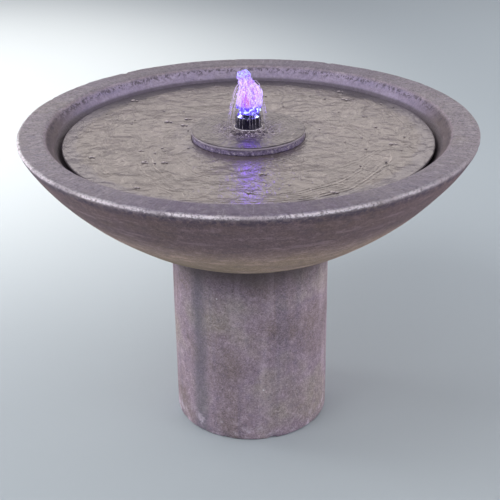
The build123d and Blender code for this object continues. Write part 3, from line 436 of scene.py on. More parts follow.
# -------------------------------------------------------------------- materials
TINT = "MULTIPLY"
LILAC_GREY = (0.326, 0.278, 0.322)
WARM_GREY = (0.326, 0.280, 0.272)
BLUE_GREY = (0.200, 0.192, 0.262)
DARK_GREY = (0.105, 0.090, 0.108)
OLIVE = (0.245, 0.200, 0.108)
WORN_LILAC = (0.780, 0.690, 0.810)
EDGE_LILAC = (1.000, 0.920, 1.000)
WET_BROWN = (0.098, 0.074, 0.068)
# Wet stone under the cap's water, darker than the plate's, and tinted with painted violet light from the
# LEDs.
WET_WITH_PAINTED_GLOW = (0.040, 0.028, 0.038)
# Near-black for the pits: painted shade in the hollows.
PAINTED_PIT_SHADE = (0.045, 0.038, 0.045)
UNDER_RIM = (0.090, 0.070, 0.118)
RIM_SHADE = (0.165, 0.145, 0.205)
RIM_TINT, FRONT_TINT = (0.93, 0.985, 0.95), (0.56, 0.50, 0.62)
UPPER_TINT, LOWER_TINT, FOOT_TINT = (0.74, 0.59, 0.545), (1.72, 1.40, 1.04), (0.68, 0.68, 0.66)
# The inner wall's painted shade at the front and sides, its painted light at the back, and its wet foot.
PAINTED_SHADE_NEAR_WALL, PAINTED_LIGHT_FAR_WALL, WET_WALL = (0.115, 0.092, 0.088), (0.52, 0.46, 0.76), (0.075, 0.062, 0.078)
STONE_GRAIN = 1.1 * MM
# The bowl's inner wall is told from its outside by radius less height times a slope.
WALL_SLOPE, INNER_TO_OUTER = 1.09, (-0.262, -0.240)
WATER_IOR = 1.33


def stone_ground(shader, strokes, stroke_share, grit=1.0, fineness=230.0):
    """The cast stone's mottled colour and its grain. strokes is a streaked noise to mix in."""
    clouds = shader.noise(6.0, 4.0, 0.6)
    mottle = shader.noise(70.0, 5.0, 0.72)
    worms = shader.noise(fineness, 3.0, 0.62, 1.8)
    speckle = shader.noise(460.0, 3.0, 0.7)
    return shader.layered(
        shader.ramp(clouds, ((0.30, WARM_GREY), (0.52, LILAC_GREY), (0.72, WARM_GREY))),
        (mottle.between(0.50, 0.70, 0.0, 0.26), WORN_LILAC),
        (mottle.between(0.50, 0.33, 0.0, 0.40), BLUE_GREY),
        (strokes.between(0.52, 0.72, 0.0, stroke_share), BLUE_GREY),
        (strokes.between(0.48, 0.30, 0.0, stroke_share * 0.7), WORN_LILAC),
        (worms.between(0.51, 0.62, 0.0, 0.36) * grit, WORN_LILAC),
        (worms.between(0.49, 0.38, 0.0, 0.46) * grit, DARK_GREY),
        (speckle.between(0.60, 0.70, 0.0, 0.40) * grit, WORN_LILAC),
        (speckle.between(0.40, 0.30, 0.0, 0.45) * grit, DARK_GREY),
    )


def stone_relief(shader):
    """Pores, pits and a sandy grain, as bumps. Gives back the pits' mask."""
    pits = shader.cells(95.0).between(0.13, 0.05) * shader.noise(22.0, 2.0).between(0.52, 0.60)
    sand = shader.noise(430.0, 4.0, 0.7)
    swells = shader.noise(60.0, 3.0, 0.6)
    shader.relief(sand + swells * 1.6 - pits, STONE_GRAIN)
    return pits


def bowl_stone():
    """Bowl: brushed rim, worn outer edge with a painted highlight at the front-left, pitted inner wall with
    painted light at the back and painted shade at the front and sides, and a darker outside, olive near the
    foot.
    """
    shader = Shader("bowl_stone", Roughness=0.80, Specular_IOR_Level=0.30)
    x, y, z = shader.axes()
    out = shader.radius()
    brushed = shader.noise(3.2, 5.0, 0.65, place=shader.round_place(34.0, 6.0, 0.0))
    drips = shader.noise(3.0, 5.0, 0.62, place=shader.round_place(1.6, 2.0, 30.0))
    on_top = z.between(RIM_Z - 3 * MM, RIM_Z - 0.6 * MM)
    outside = (out - z * WALL_SLOPE).between(*INNER_TO_OUTER)
    inner = 1.0 - outside

    below_rim = z.between(RIM_Z - 3 * MM, RIM_Z - 16 * MM) * outside
    tone = shader.blend(z.between(0.515, 0.440), UPPER_TINT, LOWER_TINT)
    under_rim = (outside * z.between(RIM_Z - 7 * MM, RIM_Z - 10 * MM) * 0.75
                 * z.between(RIM_Z - 26 * MM, RIM_Z - 12 * MM)
                 * shader.noise(120.0, 4.0, 0.75).between(0.40, 0.58))
    foot = outside * z.between(0.430, 0.388)
    warmth = shader.noise(9.0, 4.0, 0.6).between(0.40, 0.62, 0.25, 0.85)
    low = z.between(0.500, 0.385) * outside * warmth

    rags = (shader.noise(170.0, 4.0, 0.75) - 0.5) * (9 * MM)
    edge = (out + rags).between(0.4035, 0.4062) * outside
    edge = edge * (z + rags).between(RIM_Z - 7.0 * MM, RIM_Z - 4.8 * MM)
    # The worn pale edge is brightened towards the front-left, where the key light falls: a painted highlight
    # on top of the wear.
    highlight_front_left = (x * -0.5 - y).between(-0.12, 0.34, 0.10, 1.0)
    grit = shader.noise(240.0, 3.0, 0.75).between(0.38, 0.53, 0.12, 1.0)
    patchy = shader.noise(11.0).between(0.36, 0.56, 0.40, 1.0)
    front = (on_top * y.between(-0.31, -0.37) * abs(x).between(0.24, 0.10)
             * shader.noise(60.0, 4.0, 0.7).between(0.36, 0.58, 0.30, 0.95))
    pores = on_top * shader.noise(165.0, 4.0, 0.75).between(0.55, 0.63) * 0.60

    wall = inner * z.between(RIM_Z - 2 * MM, RIM_Z - 8 * MM)
    far = y.between(0.02, 0.26)
    blotch = shader.noise(125.0, 5.0, 0.78).between(0.48, 0.55)
    upper = z.between(RIM_Z - 17 * MM, RIM_Z - 8 * MM, 0.25, 1.0)
    wet = inner * z.between(PLATE_Z + 6 * MM, PLATE_Z + 1 * MM)
    colour = shader.layered(
        stone_ground(shader, brushed * on_top + drips * (1.0 - on_top), 0.55, 0.55),
        (below_rim, tone, TINT),
        (under_rim, UNDER_RIM),
        (foot, FOOT_TINT, TINT),
        (low * 0.82, OLIVE),
        (edge * highlight_front_left * grit * patchy, EDGE_LILAC),
        (on_top, RIM_TINT, TINT),
        (front, FRONT_TINT, TINT),
        (pores, DARK_GREY),
        (on_top * abs(y).between(0.10, 0.36) * 0.46, RIM_SHADE),
        # Painted light and shade on the inner wall: bright lilac at the back, which faces the lights, dark
        # brown at the front and sides, which lie in shade.
        (wall * (0.72 - far * 0.36), shader.blend(far, PAINTED_SHADE_NEAR_WALL, PAINTED_LIGHT_FAR_WALL)),
        (wall * blotch * upper * 0.85, DARK_GREY),
        (wet * 0.75, WET_WALL),
        # Painted shade in the pits.
        (stone_relief(shader) * 0.75, PAINTED_PIT_SHADE),
    )
    shader.set(Base_Color=colour, Roughness=wet.between(0.0, 1.0, 0.80, 0.30))
    return shader.material


def pedestal_stone():
    """Pedestal: mottled stone with soft upright stains, one of them long and bluish, a chalky foot, and a
    painted shadow under the bowl at its top.
    """
    shader = Shader("pedestal_stone", Roughness=0.82, Specular_IOR_Level=0.30)
    _, _, z = shader.axes()
    streaks = shader.noise(2.6, 4.0, 0.5, 0.4, shader.round_place(2.0, 1.0, 1.1))
    tone = shader.ramp(shader.noise(7.5), (
        (0.36, (0.98, 0.89, 0.86)), (0.50, (1.24, 1.13, 1.20)), (0.64, (1.30, 1.27, 1.13)),
    ))
    wander = shader.noise(1.6, place=shader.scaled(0.0, 0.0, 5.0)) * 0.16
    off = abs(shader.angle() + 0.64 + wander)
    tinted_patch = (off + streaks * 0.14).between(0.27, 0.08)
    chalk = z.between(0.060, 0.010) * shader.noise(34.0, 4.0, 0.75).between(0.50, 0.66)
    # Painted shadow: the pedestal's top is darkened below the bowl, which shades it.
    painted_shadow_under_bowl = z.between(PEDESTAL_Z - 80 * MM, PEDESTAL_Z, 0.0, 0.90)
    flecks = shader.cells(26.0).between(0.050, 0.032) * shader.noise(7.0, 1.0).between(0.56, 0.58)
    shader.set(Base_Color=shader.layered(
        stone_ground(shader, streaks, 0.38, 0.80, 215.0),
        (1.0, tone, TINT),
        (tinted_patch * 0.60, (0.150, 0.150, 0.195)),
        (chalk * 0.80, WORN_LILAC),
        (painted_shadow_under_bowl, (0.100, 0.078, 0.074)),
        (flecks, (0.9, 0.88, 0.92)),
        # Painted shade in the pits.
        (stone_relief(shader) * 0.75, PAINTED_PIT_SHADE),
    ))
    return shader.material


def damp_stone(name, tone, sparkle):
    """Plate and cap: the same stone, darkened by water, with a share of painted wet glints, strongest at the
    cap's top edge, and dark pores.
    """
    shader = Shader(name, Roughness=0.34, Coat_Weight=0.35, Coat_Roughness=0.18, Coat_IOR=WATER_IOR)
    _, _, z = shader.axes()
    streaks = shader.noise(3.0, 4.0, place=shader.round_place(1.2, 9.0, 1.0))
    glints = shader.noise(210.0, 4.0, 0.8)
    upper = z.between(CAP_Z - 6 * MM, CAP_Z - 1 * MM, 0.45, 1.0)
    shader.set(Base_Color=shader.layered(
        stone_ground(shader, streaks, 0.40),
        (1.0, tone, TINT),
        (glints.between(0.47, 0.36, 0.0, 0.85 * sparkle), (0.060, 0.048, 0.100)),
        # Painted highlights: pale glints, strongest along the cap's top edge.
        (glints.between(0.54, 0.60, 0.0, sparkle) * upper, EDGE_LILAC),
        # Painted shade in the pits.
        (stone_relief(shader), PAINTED_PIT_SHADE),
    ))
    return shader.material


def water_sheet(name, tint, ripple, level, painted_lip_tone, gloss):
    """A film of moving water at that level over dark wet stone, with light gathered under its crests."""
    shader = Shader(name, Roughness=0.34, Specular_IOR_Level=0.25, Coat_Roughness=0.04, Coat_IOR=1.6)
    _, y, z = shader.axes()
    out = shader.radius()
    lift = z - level
    below = shader.noise(16.0, 4.0, 0.6)
    drift = shader.noise(9.0, 3.0, 0.6)
    rings = shader.round_place(8.0, 120.0, 0.0)
    bent = shader.make("ShaderNodeVectorMath", {0: rings, 1: shader.vector(drift * 6.0, drift * 34.0, 0.0)})
    streaks = shader.noise(1.0, 4.0, 0.72, 1.4, bent)
    churn = shader.noise(190.0, 4.0, 0.75, 1.2)
    reach = out + shader.noise(26.0, 4.0, 0.7) * (44 * MM)

    dark = tuple(part * 0.78 for part in tint)
    light = tuple(part * 1.25 for part in tint)
    # Painted light gathered under the crests and painted shade in the troughs, from the film's height above
    # its level.
    crest = (lift.between(0.22 * MM, 0.85 * MM, 0.0, 0.70) * lift.between(2.2 * MM, 1.5 * MM)
             * out.between(MOUND_R - 2 * MM, MOUND_R + 10 * MM))
    trough = lift.between(-0.16 * MM, -0.62 * MM, 0.0, 0.88) * lift.between(-1.9 * MM, -1.4 * MM)
    beaten = out.between(MOUND_R + 30 * MM, MOUND_R - 4 * MM) * drift.between(0.30, 0.55, 0.6, 1.0)
    splashed = shader.ramp(churn, (
        (0.40, (0.030, 0.022, 0.040)), (0.52, (0.085, 0.066, 0.085)), (0.58, (0.50, 0.44, 0.50)),
    ))
    # A darker, more violet ring on the film round the cap's foot, fading out over 50 mm from it.
    tinted_patch = (out.between(CAP_R + 50 * MM, CAP_R + 2 * MM, 0.0, 0.60) * out.between(CAP_R - 2 * MM, CAP_R)
             * below.between(0.38, 0.60))
    hem = reach.between(PLATE_R - 14 * MM, PLATE_R + 2 * MM, 0.0, 0.80)
    # Painted reflection: a dark band near the plate's far edge stands for the dark back wall mirrored in the
    # water; the mirror coat is weakened there as well.
    back = reach.between(PLATE_R - 24 * MM, PLATE_R - 4 * MM, 0.0, 0.92) * y.between(0.08, 0.22)
    colour = shader.layered(
        shader.ramp(below, ((0.34, dark), (0.55, tint), (0.74, light))),
        (streaks.between(0.54, 0.68, 0.0, 0.45), (0.30, 0.25, 0.228)),
        (streaks.between(0.46, 0.33, 0.0, 0.60), (0.062, 0.048, 0.056)),
        (crest, (0.56, 0.49, 0.45)),
        (trough, (0.048, 0.036, 0.046)),
        (beaten * 0.90, splashed),
        (tinted_patch, (0.082, 0.064, 0.098)),
        (hem, (0.085, 0.070, 0.100)),
        (back, (0.040, 0.032, 0.046)),
        # Painted on the film where it is drawn down over the stone's edge: painted shade on the plate's lip
        # beside the dark gap, and a painted highlight along the cap's edge.
        (lift.between(-1.4 * MM, -2.0 * MM), painted_lip_tone),
    )
    flow = shader.noise(0.62, 3.0, 0.6, 1.0, bent)
    height = flow + shader.noise(170.0, 3.0, 0.6, 0.5) * 0.28
    shader.relief(height, ripple, "Coat Normal")
    broken = shader.maths("MAXIMUM", back * 0.85, beaten * 0.60)
    mirror = (1.0 - broken) * streaks.between(0.42, 0.56, 0.80, 1.0) * gloss
    return shader.finished(height, ripple, Base_Color=colour, Coat_Weight=mirror)


def foam_water(name, white):
    """Lit foaming water: violet, blue, lilac and cyan patches that glow, and a share of white."""
    shader = Shader(name, Roughness=0.10, IOR=WATER_IOR, Specular_IOR_Level=0.6)
    x, _, z = shader.axes()
    rise = z - JET_FOOT_Z
    drawn = shader.scaled(1.0, 1.0, 0.40)
    patches = shader.noise(150.0, 4.0, 0.78, 0.8, drawn)
    fine = shader.noise(420.0, 3.0, 0.8, 0.4, drawn)
    sparks = shader.noise(300.0, 3.0, 0.8)
    middle = abs(x + 3 * MM).between(10 * MM, 4 * MM)
    ribs = shader.noise(300.0, 2.0, place=shader.scaled(1.0, 1.0, 0.15)).between(0.42, 0.52)
    blush = middle * rise.between(14 * MM, 20 * MM) * rise.between(44 * MM, 30 * MM) * ribs
    low = rise.between(21 * MM, 15 * MM)
    blobs = shader.noise(210.0, 1.0, 0.5).between(0.56, 0.60)
    top = rise.between(62 * MM, 74 * MM)
    colour = shader.layered(
        shader.ramp(patches, (
            (0.32, (0.03, 0.00, 0.40)), (0.42, (0.10, 0.02, 0.75)), (0.49, (0.20, 0.06, 0.90)),
            (0.56, (0.38, 0.14, 0.70)), (0.64, (0.14, 0.05, 1.00)), (0.72, (0.12, 0.30, 1.00)),
        )),
        (white, (0.46, 0.38, 0.62)),
        (fine.between(0.53, 0.62, 0.0, 0.85), (0.50, 0.44, 0.66)),
        (fine.between(0.47, 0.39, 0.0, 0.80), (0.05, 0.01, 0.50)),
        (blush * 0.80, (0.27, 0.04, 0.10)),
        (low, shader.blend(blobs, (0.030, 0.0, 0.50), (0.46, 0.56, 0.70))),
        (sparks.between(0.60, 0.66) * (1.0 - low), (0.50, 0.52, 0.80)),
        (top * 0.60, shader.blend(sparks.between(0.47, 0.54), (0.08, 0.03, 0.80), (0.30, 0.50, 0.80))),
    )
    return shader.finished(patches, 2.0 * MM, Base_Color=(0.20, 0.17, 0.30), Emission_Color=colour,
                           Emission_Strength=1.9, Alpha=fine.between(0.36, 0.50, 0.50, 1.0))


def thread_water():
    """The thin falling threads of water, faintly lit from below."""
    shader = Shader("thread_water", Roughness=0.06, IOR=WATER_IOR, Specular_IOR_Level=0.8)
    _, _, z = shader.axes()
    beads = shader.noise(160.0, 3.0, 0.7, place=shader.scaled(1.0, 1.0, 0.6))
    high = z.between(CAP_Z, JET_TOP_Z - 30 * MM)
    shader.set(Base_Color=(0.70, 0.66, 0.78),
               Emission_Color=shader.blend(high, (0.52, 0.46, 0.60), (0.70, 0.50, 0.92)),
               Emission_Strength=z.between(CAP_Z, JET_TOP_Z - 20 * MM, 0.05, 0.75),
               Alpha=beads.between(0.36, 0.64, 0.08, 0.50))
    return shader.material


def splash_water():
    """White water where the threads land and round the foot of the light."""
    shader = Shader("splash_water", Roughness=0.10, IOR=WATER_IOR, Coat_Weight=1.0, Coat_Roughness=0.04,
                    Coat_IOR=WATER_IOR)
    froth = shader.noise(340.0, 4.0, 0.75)
    colour = shader.ramp(froth, (
        (0.36, (0.30, 0.27, 0.34)), (0.52, (0.62, 0.57, 0.66)), (0.66, (0.95, 0.93, 0.98)),
    ))
    return shader.finished(froth, 1.0 * MM, Base_Color=colour, Alpha=froth.between(0.30, 0.55, 0.55, 1.0))


def bubble_water():
    """Small bubbles and drops on the film: painted shade at their foot, a painted highlight on top, and
    glossy.
    """
    shader = Shader("bubble_water", Roughness=0.05, IOR=WATER_IOR, Coat_Weight=1.0, Coat_Roughness=0.02,
                    Coat_IOR=1.4)
    _, _, z = shader.axes()
    # Painted light: paler on the tops of the domes, as if lit from above, and darker at their foot, as if in
    # shade.
    domes = z.between(PLATE_FILM_Z + 0.7 * MM, PLATE_FILM_Z + 1.7 * MM)
    foot = shader.ramp(shader.noise(90.0, 2.0), ((0.40, (0.10, 0.085, 0.10)), (0.60, (0.22, 0.19, 0.21))))
    shader.set(Base_Color=shader.blend(domes, foot, (0.40, 0.35, 0.36)))
    return shader.material


def moulded_plastic(name, colour, rough=0.45, texture=0.12, stains=0.5):
    """Moulded plastic with a fine spark texture, duller patches and a little lime scale."""
    shader = Shader(name, Specular_IOR_Level=0.5)
    wear = shader.noise(55.0, 4.0, 0.65)
    skin = shader.noise(1500.0, 2.0, 0.6)
    lime = shader.noise(38.0, 5.0, 0.72, place=shader.scaled(1.0, 1.0, 0.5)).between(0.58, 0.74, 0.0, stains)
    light = tuple(min(1.0, part * 1.5 + 0.02) for part in colour)
    body = shader.blend(wear.between(0.35, 0.7), colour, light)
    return shader.finished(skin + lime * 2.0, texture * MM,
                           Base_Color=shader.blend(lime, body, (0.46, 0.44, 0.41)),
                           Roughness=wear.between(0.3, 0.7, rough - 0.10, rough + 0.16))


def rubber(name, colour):
    """Rubber: matt, with a dusty bloom."""
    shader = Shader(name, Specular_IOR_Level=0.3)
    bloom = shader.noise(70.0, 4.0, 0.7)
    pale = tuple(part * 2.0 + 0.03 for part in colour)
    return shader.finished(shader.noise(900.0), 0.12 * MM,
                           Base_Color=shader.blend(bloom.between(0.45, 0.75, 0.0, 0.7), colour, pale),
                           Roughness=bloom.between(0.3, 0.7, 0.62, 0.86))


def bright_steel():
    """Stainless steel with lines of polishing."""
    shader = Shader("stainless", Metallic=1.0)
    lines = shader.noise(900.0, 3.0, 0.6, place=shader.scaled(0.2, 0.2, 6.0))
    tarnish = shader.noise(120.0, 4.0, 0.7).between(0.5, 0.75, 0.0, 0.6)
    return shader.finished(lines, 0.03 * MM, Roughness=lines.between(0.3, 0.7, 0.20, 0.42),
                           Base_Color=shader.blend(tarnish, (0.66, 0.65, 0.63), (0.42, 0.38, 0.33)))


def core_steel():
    """Electrical steel: stacked sheets with dull cut edges and spots of rust."""
    shader = Shader("electrical_steel", Metallic=0.85)
    sheets = shader.waves(330.0, 0.4, bands_direction="Y")
    rust = shader.noise(95.0, 5.0, 0.7).between(0.58, 0.72)
    base = shader.blend(sheets.between(0.1, 0.5), (0.09, 0.09, 0.10), (0.40, 0.41, 0.43))
    return shader.finished(sheets, 0.12 * MM, Base_Color=shader.blend(rust, base, (0.25, 0.11, 0.05)),
                           Roughness=rust.between(0.0, 1.0, 0.42, 0.85))


def copper_winding():
    """Enamelled wire wound level upon level."""
    shader = Shader("coil_wire", Metallic=0.9, Roughness=0.3, Coat_Weight=0.7, Coat_Roughness=0.12)
    turns = shader.waves(400.0, 0.7, bands_direction="Z")
    colour = shader.ramp(shader.noise(260.0), ((0.3, (0.40, 0.13, 0.05)), (0.7, (0.72, 0.32, 0.14))))
    # Painted shade: dark in the grooves between the turns.
    return shader.finished(turns, 0.22 * MM,
                           Base_Color=shader.blend(turns.between(0.0, 0.45), (0.10, 0.03, 0.015), colour))


def potting_resin():
    """Cast resin: glossy, with flow marks and pinholes."""
    shader = Shader("potting_resin", Roughness=0.22, Coat_Weight=0.5, Coat_Roughness=0.1)
    flow = shader.noise(60.0, 3.0, 0.6, 1.2)
    holes = shader.cells(420.0).between(0.10, 0.04)
    colour = shader.blend(flow.between(0.3, 0.7), (0.018, 0.018, 0.02), (0.05, 0.05, 0.055))
    return shader.finished(flow - holes, 0.35 * MM, Base_Color=colour)


def fired_ceramic(name, pale, dark, rough):
    """Ground ceramic or ferrite, with its grinding lines."""
    shader = Shader(name, Specular_IOR_Level=0.6)
    lines = shader.noise(260.0, 3.0, 0.6, place=shader.scaled(1.0, 14.0, 1.0))
    grit = shader.noise(700.0, 3.0, 0.7).between(0.35, 0.65)
    return shader.finished(lines, 0.03 * MM, Base_Color=shader.blend(grit, dark, pale),
                           Roughness=lines.between(0.3, 0.7, rough, rough + 0.15))


def open_foam():
    """Open-cell filter foam with silt in its cells."""
    shader = Shader("filter_foam", Roughness=0.95, Specular_IOR_Level=0.15)
    walls = shader.cells(620.0).between(0.25, 0.60)
    silt = shader.noise(60.0, 4.0, 0.7).between(0.45, 0.7)
    strut = shader.blend(silt, (0.055, 0.056, 0.062), (0.20, 0.165, 0.115))
    # Painted shade: near-black in the open cells between the struts.
    return shader.finished(walls, 0.9 * MM, Base_Color=shader.blend(walls, (0.004, 0.004, 0.005), strut))


def clear_plastic(name, tint, rough, alpha):
    """Clear hose, a little clouded."""
    shader = Shader(name, IOR=1.46, Specular_IOR_Level=0.6)
    cloud = shader.noise(90.0, 4.0, 0.7)
    return shader.finished(cloud, 0.2 * MM,
                           Base_Color=shader.blend(cloud.between(0.4, 0.7), tint, (0.62, 0.66, 0.60)),
                           Roughness=cloud.between(0.3, 0.7, rough, rough + 0.14),
                           Alpha=cloud.between(0.3, 0.7, alpha, alpha + 0.18))


def circuit_board():
    """White board with ring tracks."""
    shader = Shader("board", Roughness=0.4)
    rings = shader.waves(170.0, 0.0, wave_type="RINGS", rings_direction="Z")
    tracks = shader.blend(rings.between(0.80, 0.86), (0.82, 0.83, 0.83), (0.60, 0.64, 0.62))
    return shader.finished(rings, 0.04 * MM, Base_Color=tracks)


def led_lens():
    """Clear domes that glow, one after another in cyan-white, blue and violet."""
    shader = Shader("led_lens", Roughness=0.08, Coat_Weight=1.0, Coat_Roughness=0.03)
    _, _, z = shader.axes()
    step = shader.maths("FRACT", (shader.angle() + 9.62) * (4 / TURN))
    colour = shader.ramp(step, (
        (0.00, (0.60, 0.92, 1.0)), (0.32, (0.75, 0.95, 1.0)), (0.34, (0.10, 0.06, 1.0)),
        (0.65, (0.16, 0.08, 1.0)), (0.67, (0.48, 0.50, 1.0)), (0.99, (0.70, 0.62, 1.0)),
    ))
    return shader.finished(shader.noise(300.0, 2.0), 0.02 * MM,
                           Base_Color=(0.7, 0.8, 1.0), Emission_Color=colour,
                           Emission_Strength=z.between(RING_Z - 6 * MM, RING_Z - 1 * MM, 1.6, 2.6))


def lit_resin():
    """The clear resin round the LEDs, flooded with blue light."""
    shader = Shader("clear_resin", Roughness=0.08, IOR=1.5, Coat_Weight=1.0, Coat_Roughness=0.03)
    cloud = shader.noise(240.0, 3.0, 0.7)
    colour = shader.ramp(cloud, ((0.38, (0.03, 0.00, 0.36)), (0.62, (0.16, 0.03, 1.0))))
    return shader.finished(cloud, 0.3 * MM, Base_Color=(0.05, 0.02, 0.35),
                           Emission_Color=colour, Emission_Strength=1.3)


MATERIALS = {
    "stone": bowl_stone(),
    "pad_rubber": rubber("pad_rubber", (0.045, 0.045, 0.05)),
    "pump_plastic": moulded_plastic("pump_plastic", (0.020, 0.021, 0.025)),
    "grip_plastic": moulded_plastic("grip_plastic", (0.13, 0.14, 0.16), 0.5),
    "soft_rubber": rubber("soft_rubber", (0.022, 0.022, 0.023)),
    "electrical_steel": core_steel(),
    "bobbin_plastic": moulded_plastic("bobbin_plastic", (0.62, 0.60, 0.55), 0.5, 0.06, 0.1),
    "coil_wire": copper_winding(),
    "potting_resin": potting_resin(),
    "shaft_ceramic": fired_ceramic("shaft_ceramic", (0.86, 0.85, 0.81), (0.70, 0.68, 0.63), 0.12),
    "magnet": fired_ceramic("magnet", (0.085, 0.085, 0.09), (0.035, 0.035, 0.04), 0.35),
    "impeller_plastic": moulded_plastic("impeller_plastic", (0.55, 0.57, 0.60), 0.35, 0.05, 0.25),
    "stainless": bright_steel(),
    "sponge": open_foam(),
    "clear_hose": clear_plastic("clear_hose", (0.80, 0.86, 0.82), 0.10, 0.40),
    "nozzle_plastic": moulded_plastic("nozzle_plastic", (0.018, 0.018, 0.021), 0.36, 0.05, 0.35),
    "light_plastic": moulded_plastic("light_plastic", (0.006, 0.004, 0.022), 0.24, 0.04, 0.05),
    "lead_sheath": rubber("lead_sheath", (0.018, 0.018, 0.018)),
    "board": circuit_board(),
    "led_lens": led_lens(),
    "clear_resin": lit_resin(),
}
PEDESTAL_STONE = pedestal_stone()
DAMP_STONE = damp_stone("damp_stone", (0.96, 0.88, 1.04), 0.25)
# The cap: darkened by splashing, tinted with painted violet light from the LEDs, and with painted glints at
# full share.
CAP_STONE = damp_stone("splashed_stone_painted_glow", (0.70, 0.66, 1.02), 1.0)
# The lip colours: painted shade on the plate's lip, a painted highlight on the cap's.
PLATE_WATER = water_sheet("water_over_plate", WET_BROWN, 2.2 * MM, PLATE_FILM_Z, (0.06, 0.05, 0.06), 1.0)
CAP_WATER = water_sheet("water_over_cap", WET_WITH_PAINTED_GLOW, 1.6 * MM, CAP_FILM_Z, (0.60, 0.54, 0.66), 0.74)
FOAM = foam_water("lit_foam_water", 0.0)
STRANDS = foam_water("lit_strand_water", 0.58)
THREADS = thread_water()
SPLASH = splash_water()
BUBBLES = bubble_water()


def dress_cad_nodes():
    """Gives every CAD node the material of its slot."""
    for part in frame["record"]["subparts"]:
        material = MATERIALS.get(part["material_slot"])
        if material is None:
            continue
        for place in frame["nodes"][part["node"]].material_slots:
            place.link = "OBJECT"
            place.material = material


# -------------------------------------------------------------------- stonework
def rounded(corners, steps, roundings):
    """A closed section through four corners, with (reach, steps) of rounding at all but the first."""
    sides = [straight(*ends) for ends in zip(corners, corners[1:] + corners[:1], steps)]
    section = sides[0]
    for side, rounding in zip(sides[1:], roundings):
        section = eased(section, side, *rounding) if rounding else section + side[1:]
    return section[:-1]


def hand_cast(points, swell, skin):
    """The slight unevenness of hand-cast stone, in metres."""
    coarse, fine = grain(points, 0.021, 7.0), grain(points, 0.009, 3.0)
    return grain(points, 0.085) * swell + coarse * skin + fine * skin * 0.6


def chips(points, on_edge, size, depth):
    """Small knocks in an edge. on_edge is 1 on the edge and 0 away from it."""
    large = fade(grain(points, size, 21.0), 0.28, 0.55)
    small = fade(grain(points, size * 0.45, 5.0), 0.30, 0.55)
    return -depth * (large + 0.5 * small) * on_edge


def bowl_uneven(points):
    still = fade(radii(points), OUTSIDE[0][0] + 4 * MM, OUTSIDE[0][0] + 30 * MM)
    edge = fade(radii(points), 0.3975, 0.4020) * fade(points[:, 2], RIM_Z - 11 * MM, RIM_Z - 6 * MM)
    return hand_cast(points, 0.75 * MM, 0.16 * MM) * still + chips(points, edge, 0.012, 1.5 * MM)


def make_bowl():
    """The bowl with its lugs and the stopper's hole."""
    rim = straight(OUTSIDE[3], INSIDE[0], 18)
    section = eased(eased(bezier(OUTSIDE, 58), rim, 9.6 * MM, 8), bezier(INSIDE, 36), 3.2 * MM, 5)
    foot = straight((0.0, BOWL_FOOT_Z), OUTSIDE[0], 7)
    floor = straight(INSIDE[3], (0.0, BASIN_FLOOR_Z), 8)
    shell = revolved(foot[:-1] + section + floor[1:], 600)
    bowl = new_piece("stone_bowl", *shell, MATERIALS["stone"], "root")
    shift_along_normals(bowl, bowl_uneven)
    lug_low = (LUG_IN_R, -LUG_HALF, BASIN_FLOOR_Z - 8 * MM)
    lugs = []
    for number in range(4):
        turn = Matrix.Rotation(radians(45 + 90 * number), 3, "Z")
        points, faces = block(lug_low, (LUG_OUT_R, LUG_HALF, LUG_TOP_Z), 14, 5 * MM)
        points = points + np.outer(hand_cast(points + number, 0.3 * MM, 0.1 * MM), (1, 1, 0))
        points[:, 0] = np.minimum(points[:, 0], lug_reach(points[:, 2]))
        lugs.append(([turn @ Vector(point) for point in points], faces))
    new_piece("bowl_lugs", *joined(lugs), MATERIALS["stone"], "root")
    hole = (STOPPER_LOW + STOPPER_HIGH) / 2
    under, over = BOWL_FOOT_Z - 20 * MM, BASIN_FLOOR_Z + 20 * MM
    points, faces = revolved([(0, under), (STOPPER_HOLE_LOW_R, under), (STOPPER_HOLE_LOW_R, BOWL_FOOT_Z),
                              (STOPPER_HOLE_HIGH_R, BASIN_FLOOR_Z), (STOPPER_HOLE_HIGH_R, over),
                              (0, over)], 48)
    cut(bowl, points + np.array((hole.x, hole.y, 0)), faces)
    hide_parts("bowl")


def lug_reach(heights):
    """How far out a lug may reach at each height and still end inside the bowl's wall."""
    wall = np.array(bezier(INSIDE, 60))[::-1]
    return np.interp(heights, wall[:, 1], wall[:, 0]) + 14 * MM


def pedestal_uneven(points):
    skin = fade(radii(points), PEDESTAL_R - 9 * MM, PEDESTAL_R - 2 * MM)
    level = fade(points[:, 2], 0.0, 6 * MM) * fade(points[:, 2], PEDESTAL_Z, PEDESTAL_Z - 6 * MM)
    edge = skin * fade(points[:, 2], 9 * MM, 2 * MM)
    return hand_cast(points, 0.5 * MM, 0.22 * MM) * skin * level + chips(points, edge, 0.015, 2.2 * MM)


def make_pedestal():
    """The hollow pedestal with its cord notch, chipped along the foot."""
    corners = ((PEDESTAL_BORE_R, 0), (PEDESTAL_R, 0), (PEDESTAL_R, PEDESTAL_Z), (PEDESTAL_BORE_R, PEDESTAL_Z))
    section = rounded(corners, (9, 76, 9, 40), ((4.5 * MM, 6), (3.5 * MM, 5), None))
    pedestal = new_piece("stone_pedestal", *revolved(section, 420), PEDESTAL_STONE, "root")
    shift_along_normals(pedestal, pedestal_uneven)
    arch = bezier([(-NOTCH_HALF, NOTCH_LOW), (-NOTCH_HALF, NOTCH_PEAK),
                   (NOTCH_HALF, NOTCH_PEAK), (NOTCH_HALF, NOTCH_LOW)], 24)
    outline = [(-NOTCH_HALF, -10 * MM)] + [tuple(point) for point in arch] + [(NOTCH_HALF, -10 * MM)]
    near = [(x, 0.06, z) for x, z in outline]
    far = [(x, PEDESTAL_R + 20 * MM, z) for x, z in outline]
    inner, outer = range(len(outline)), range(len(outline), 2 * len(outline))
    cut(pedestal, near + far, strip(inner, outer) + [tuple(inner)[::-1], tuple(outer)])
    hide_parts("pedestal")


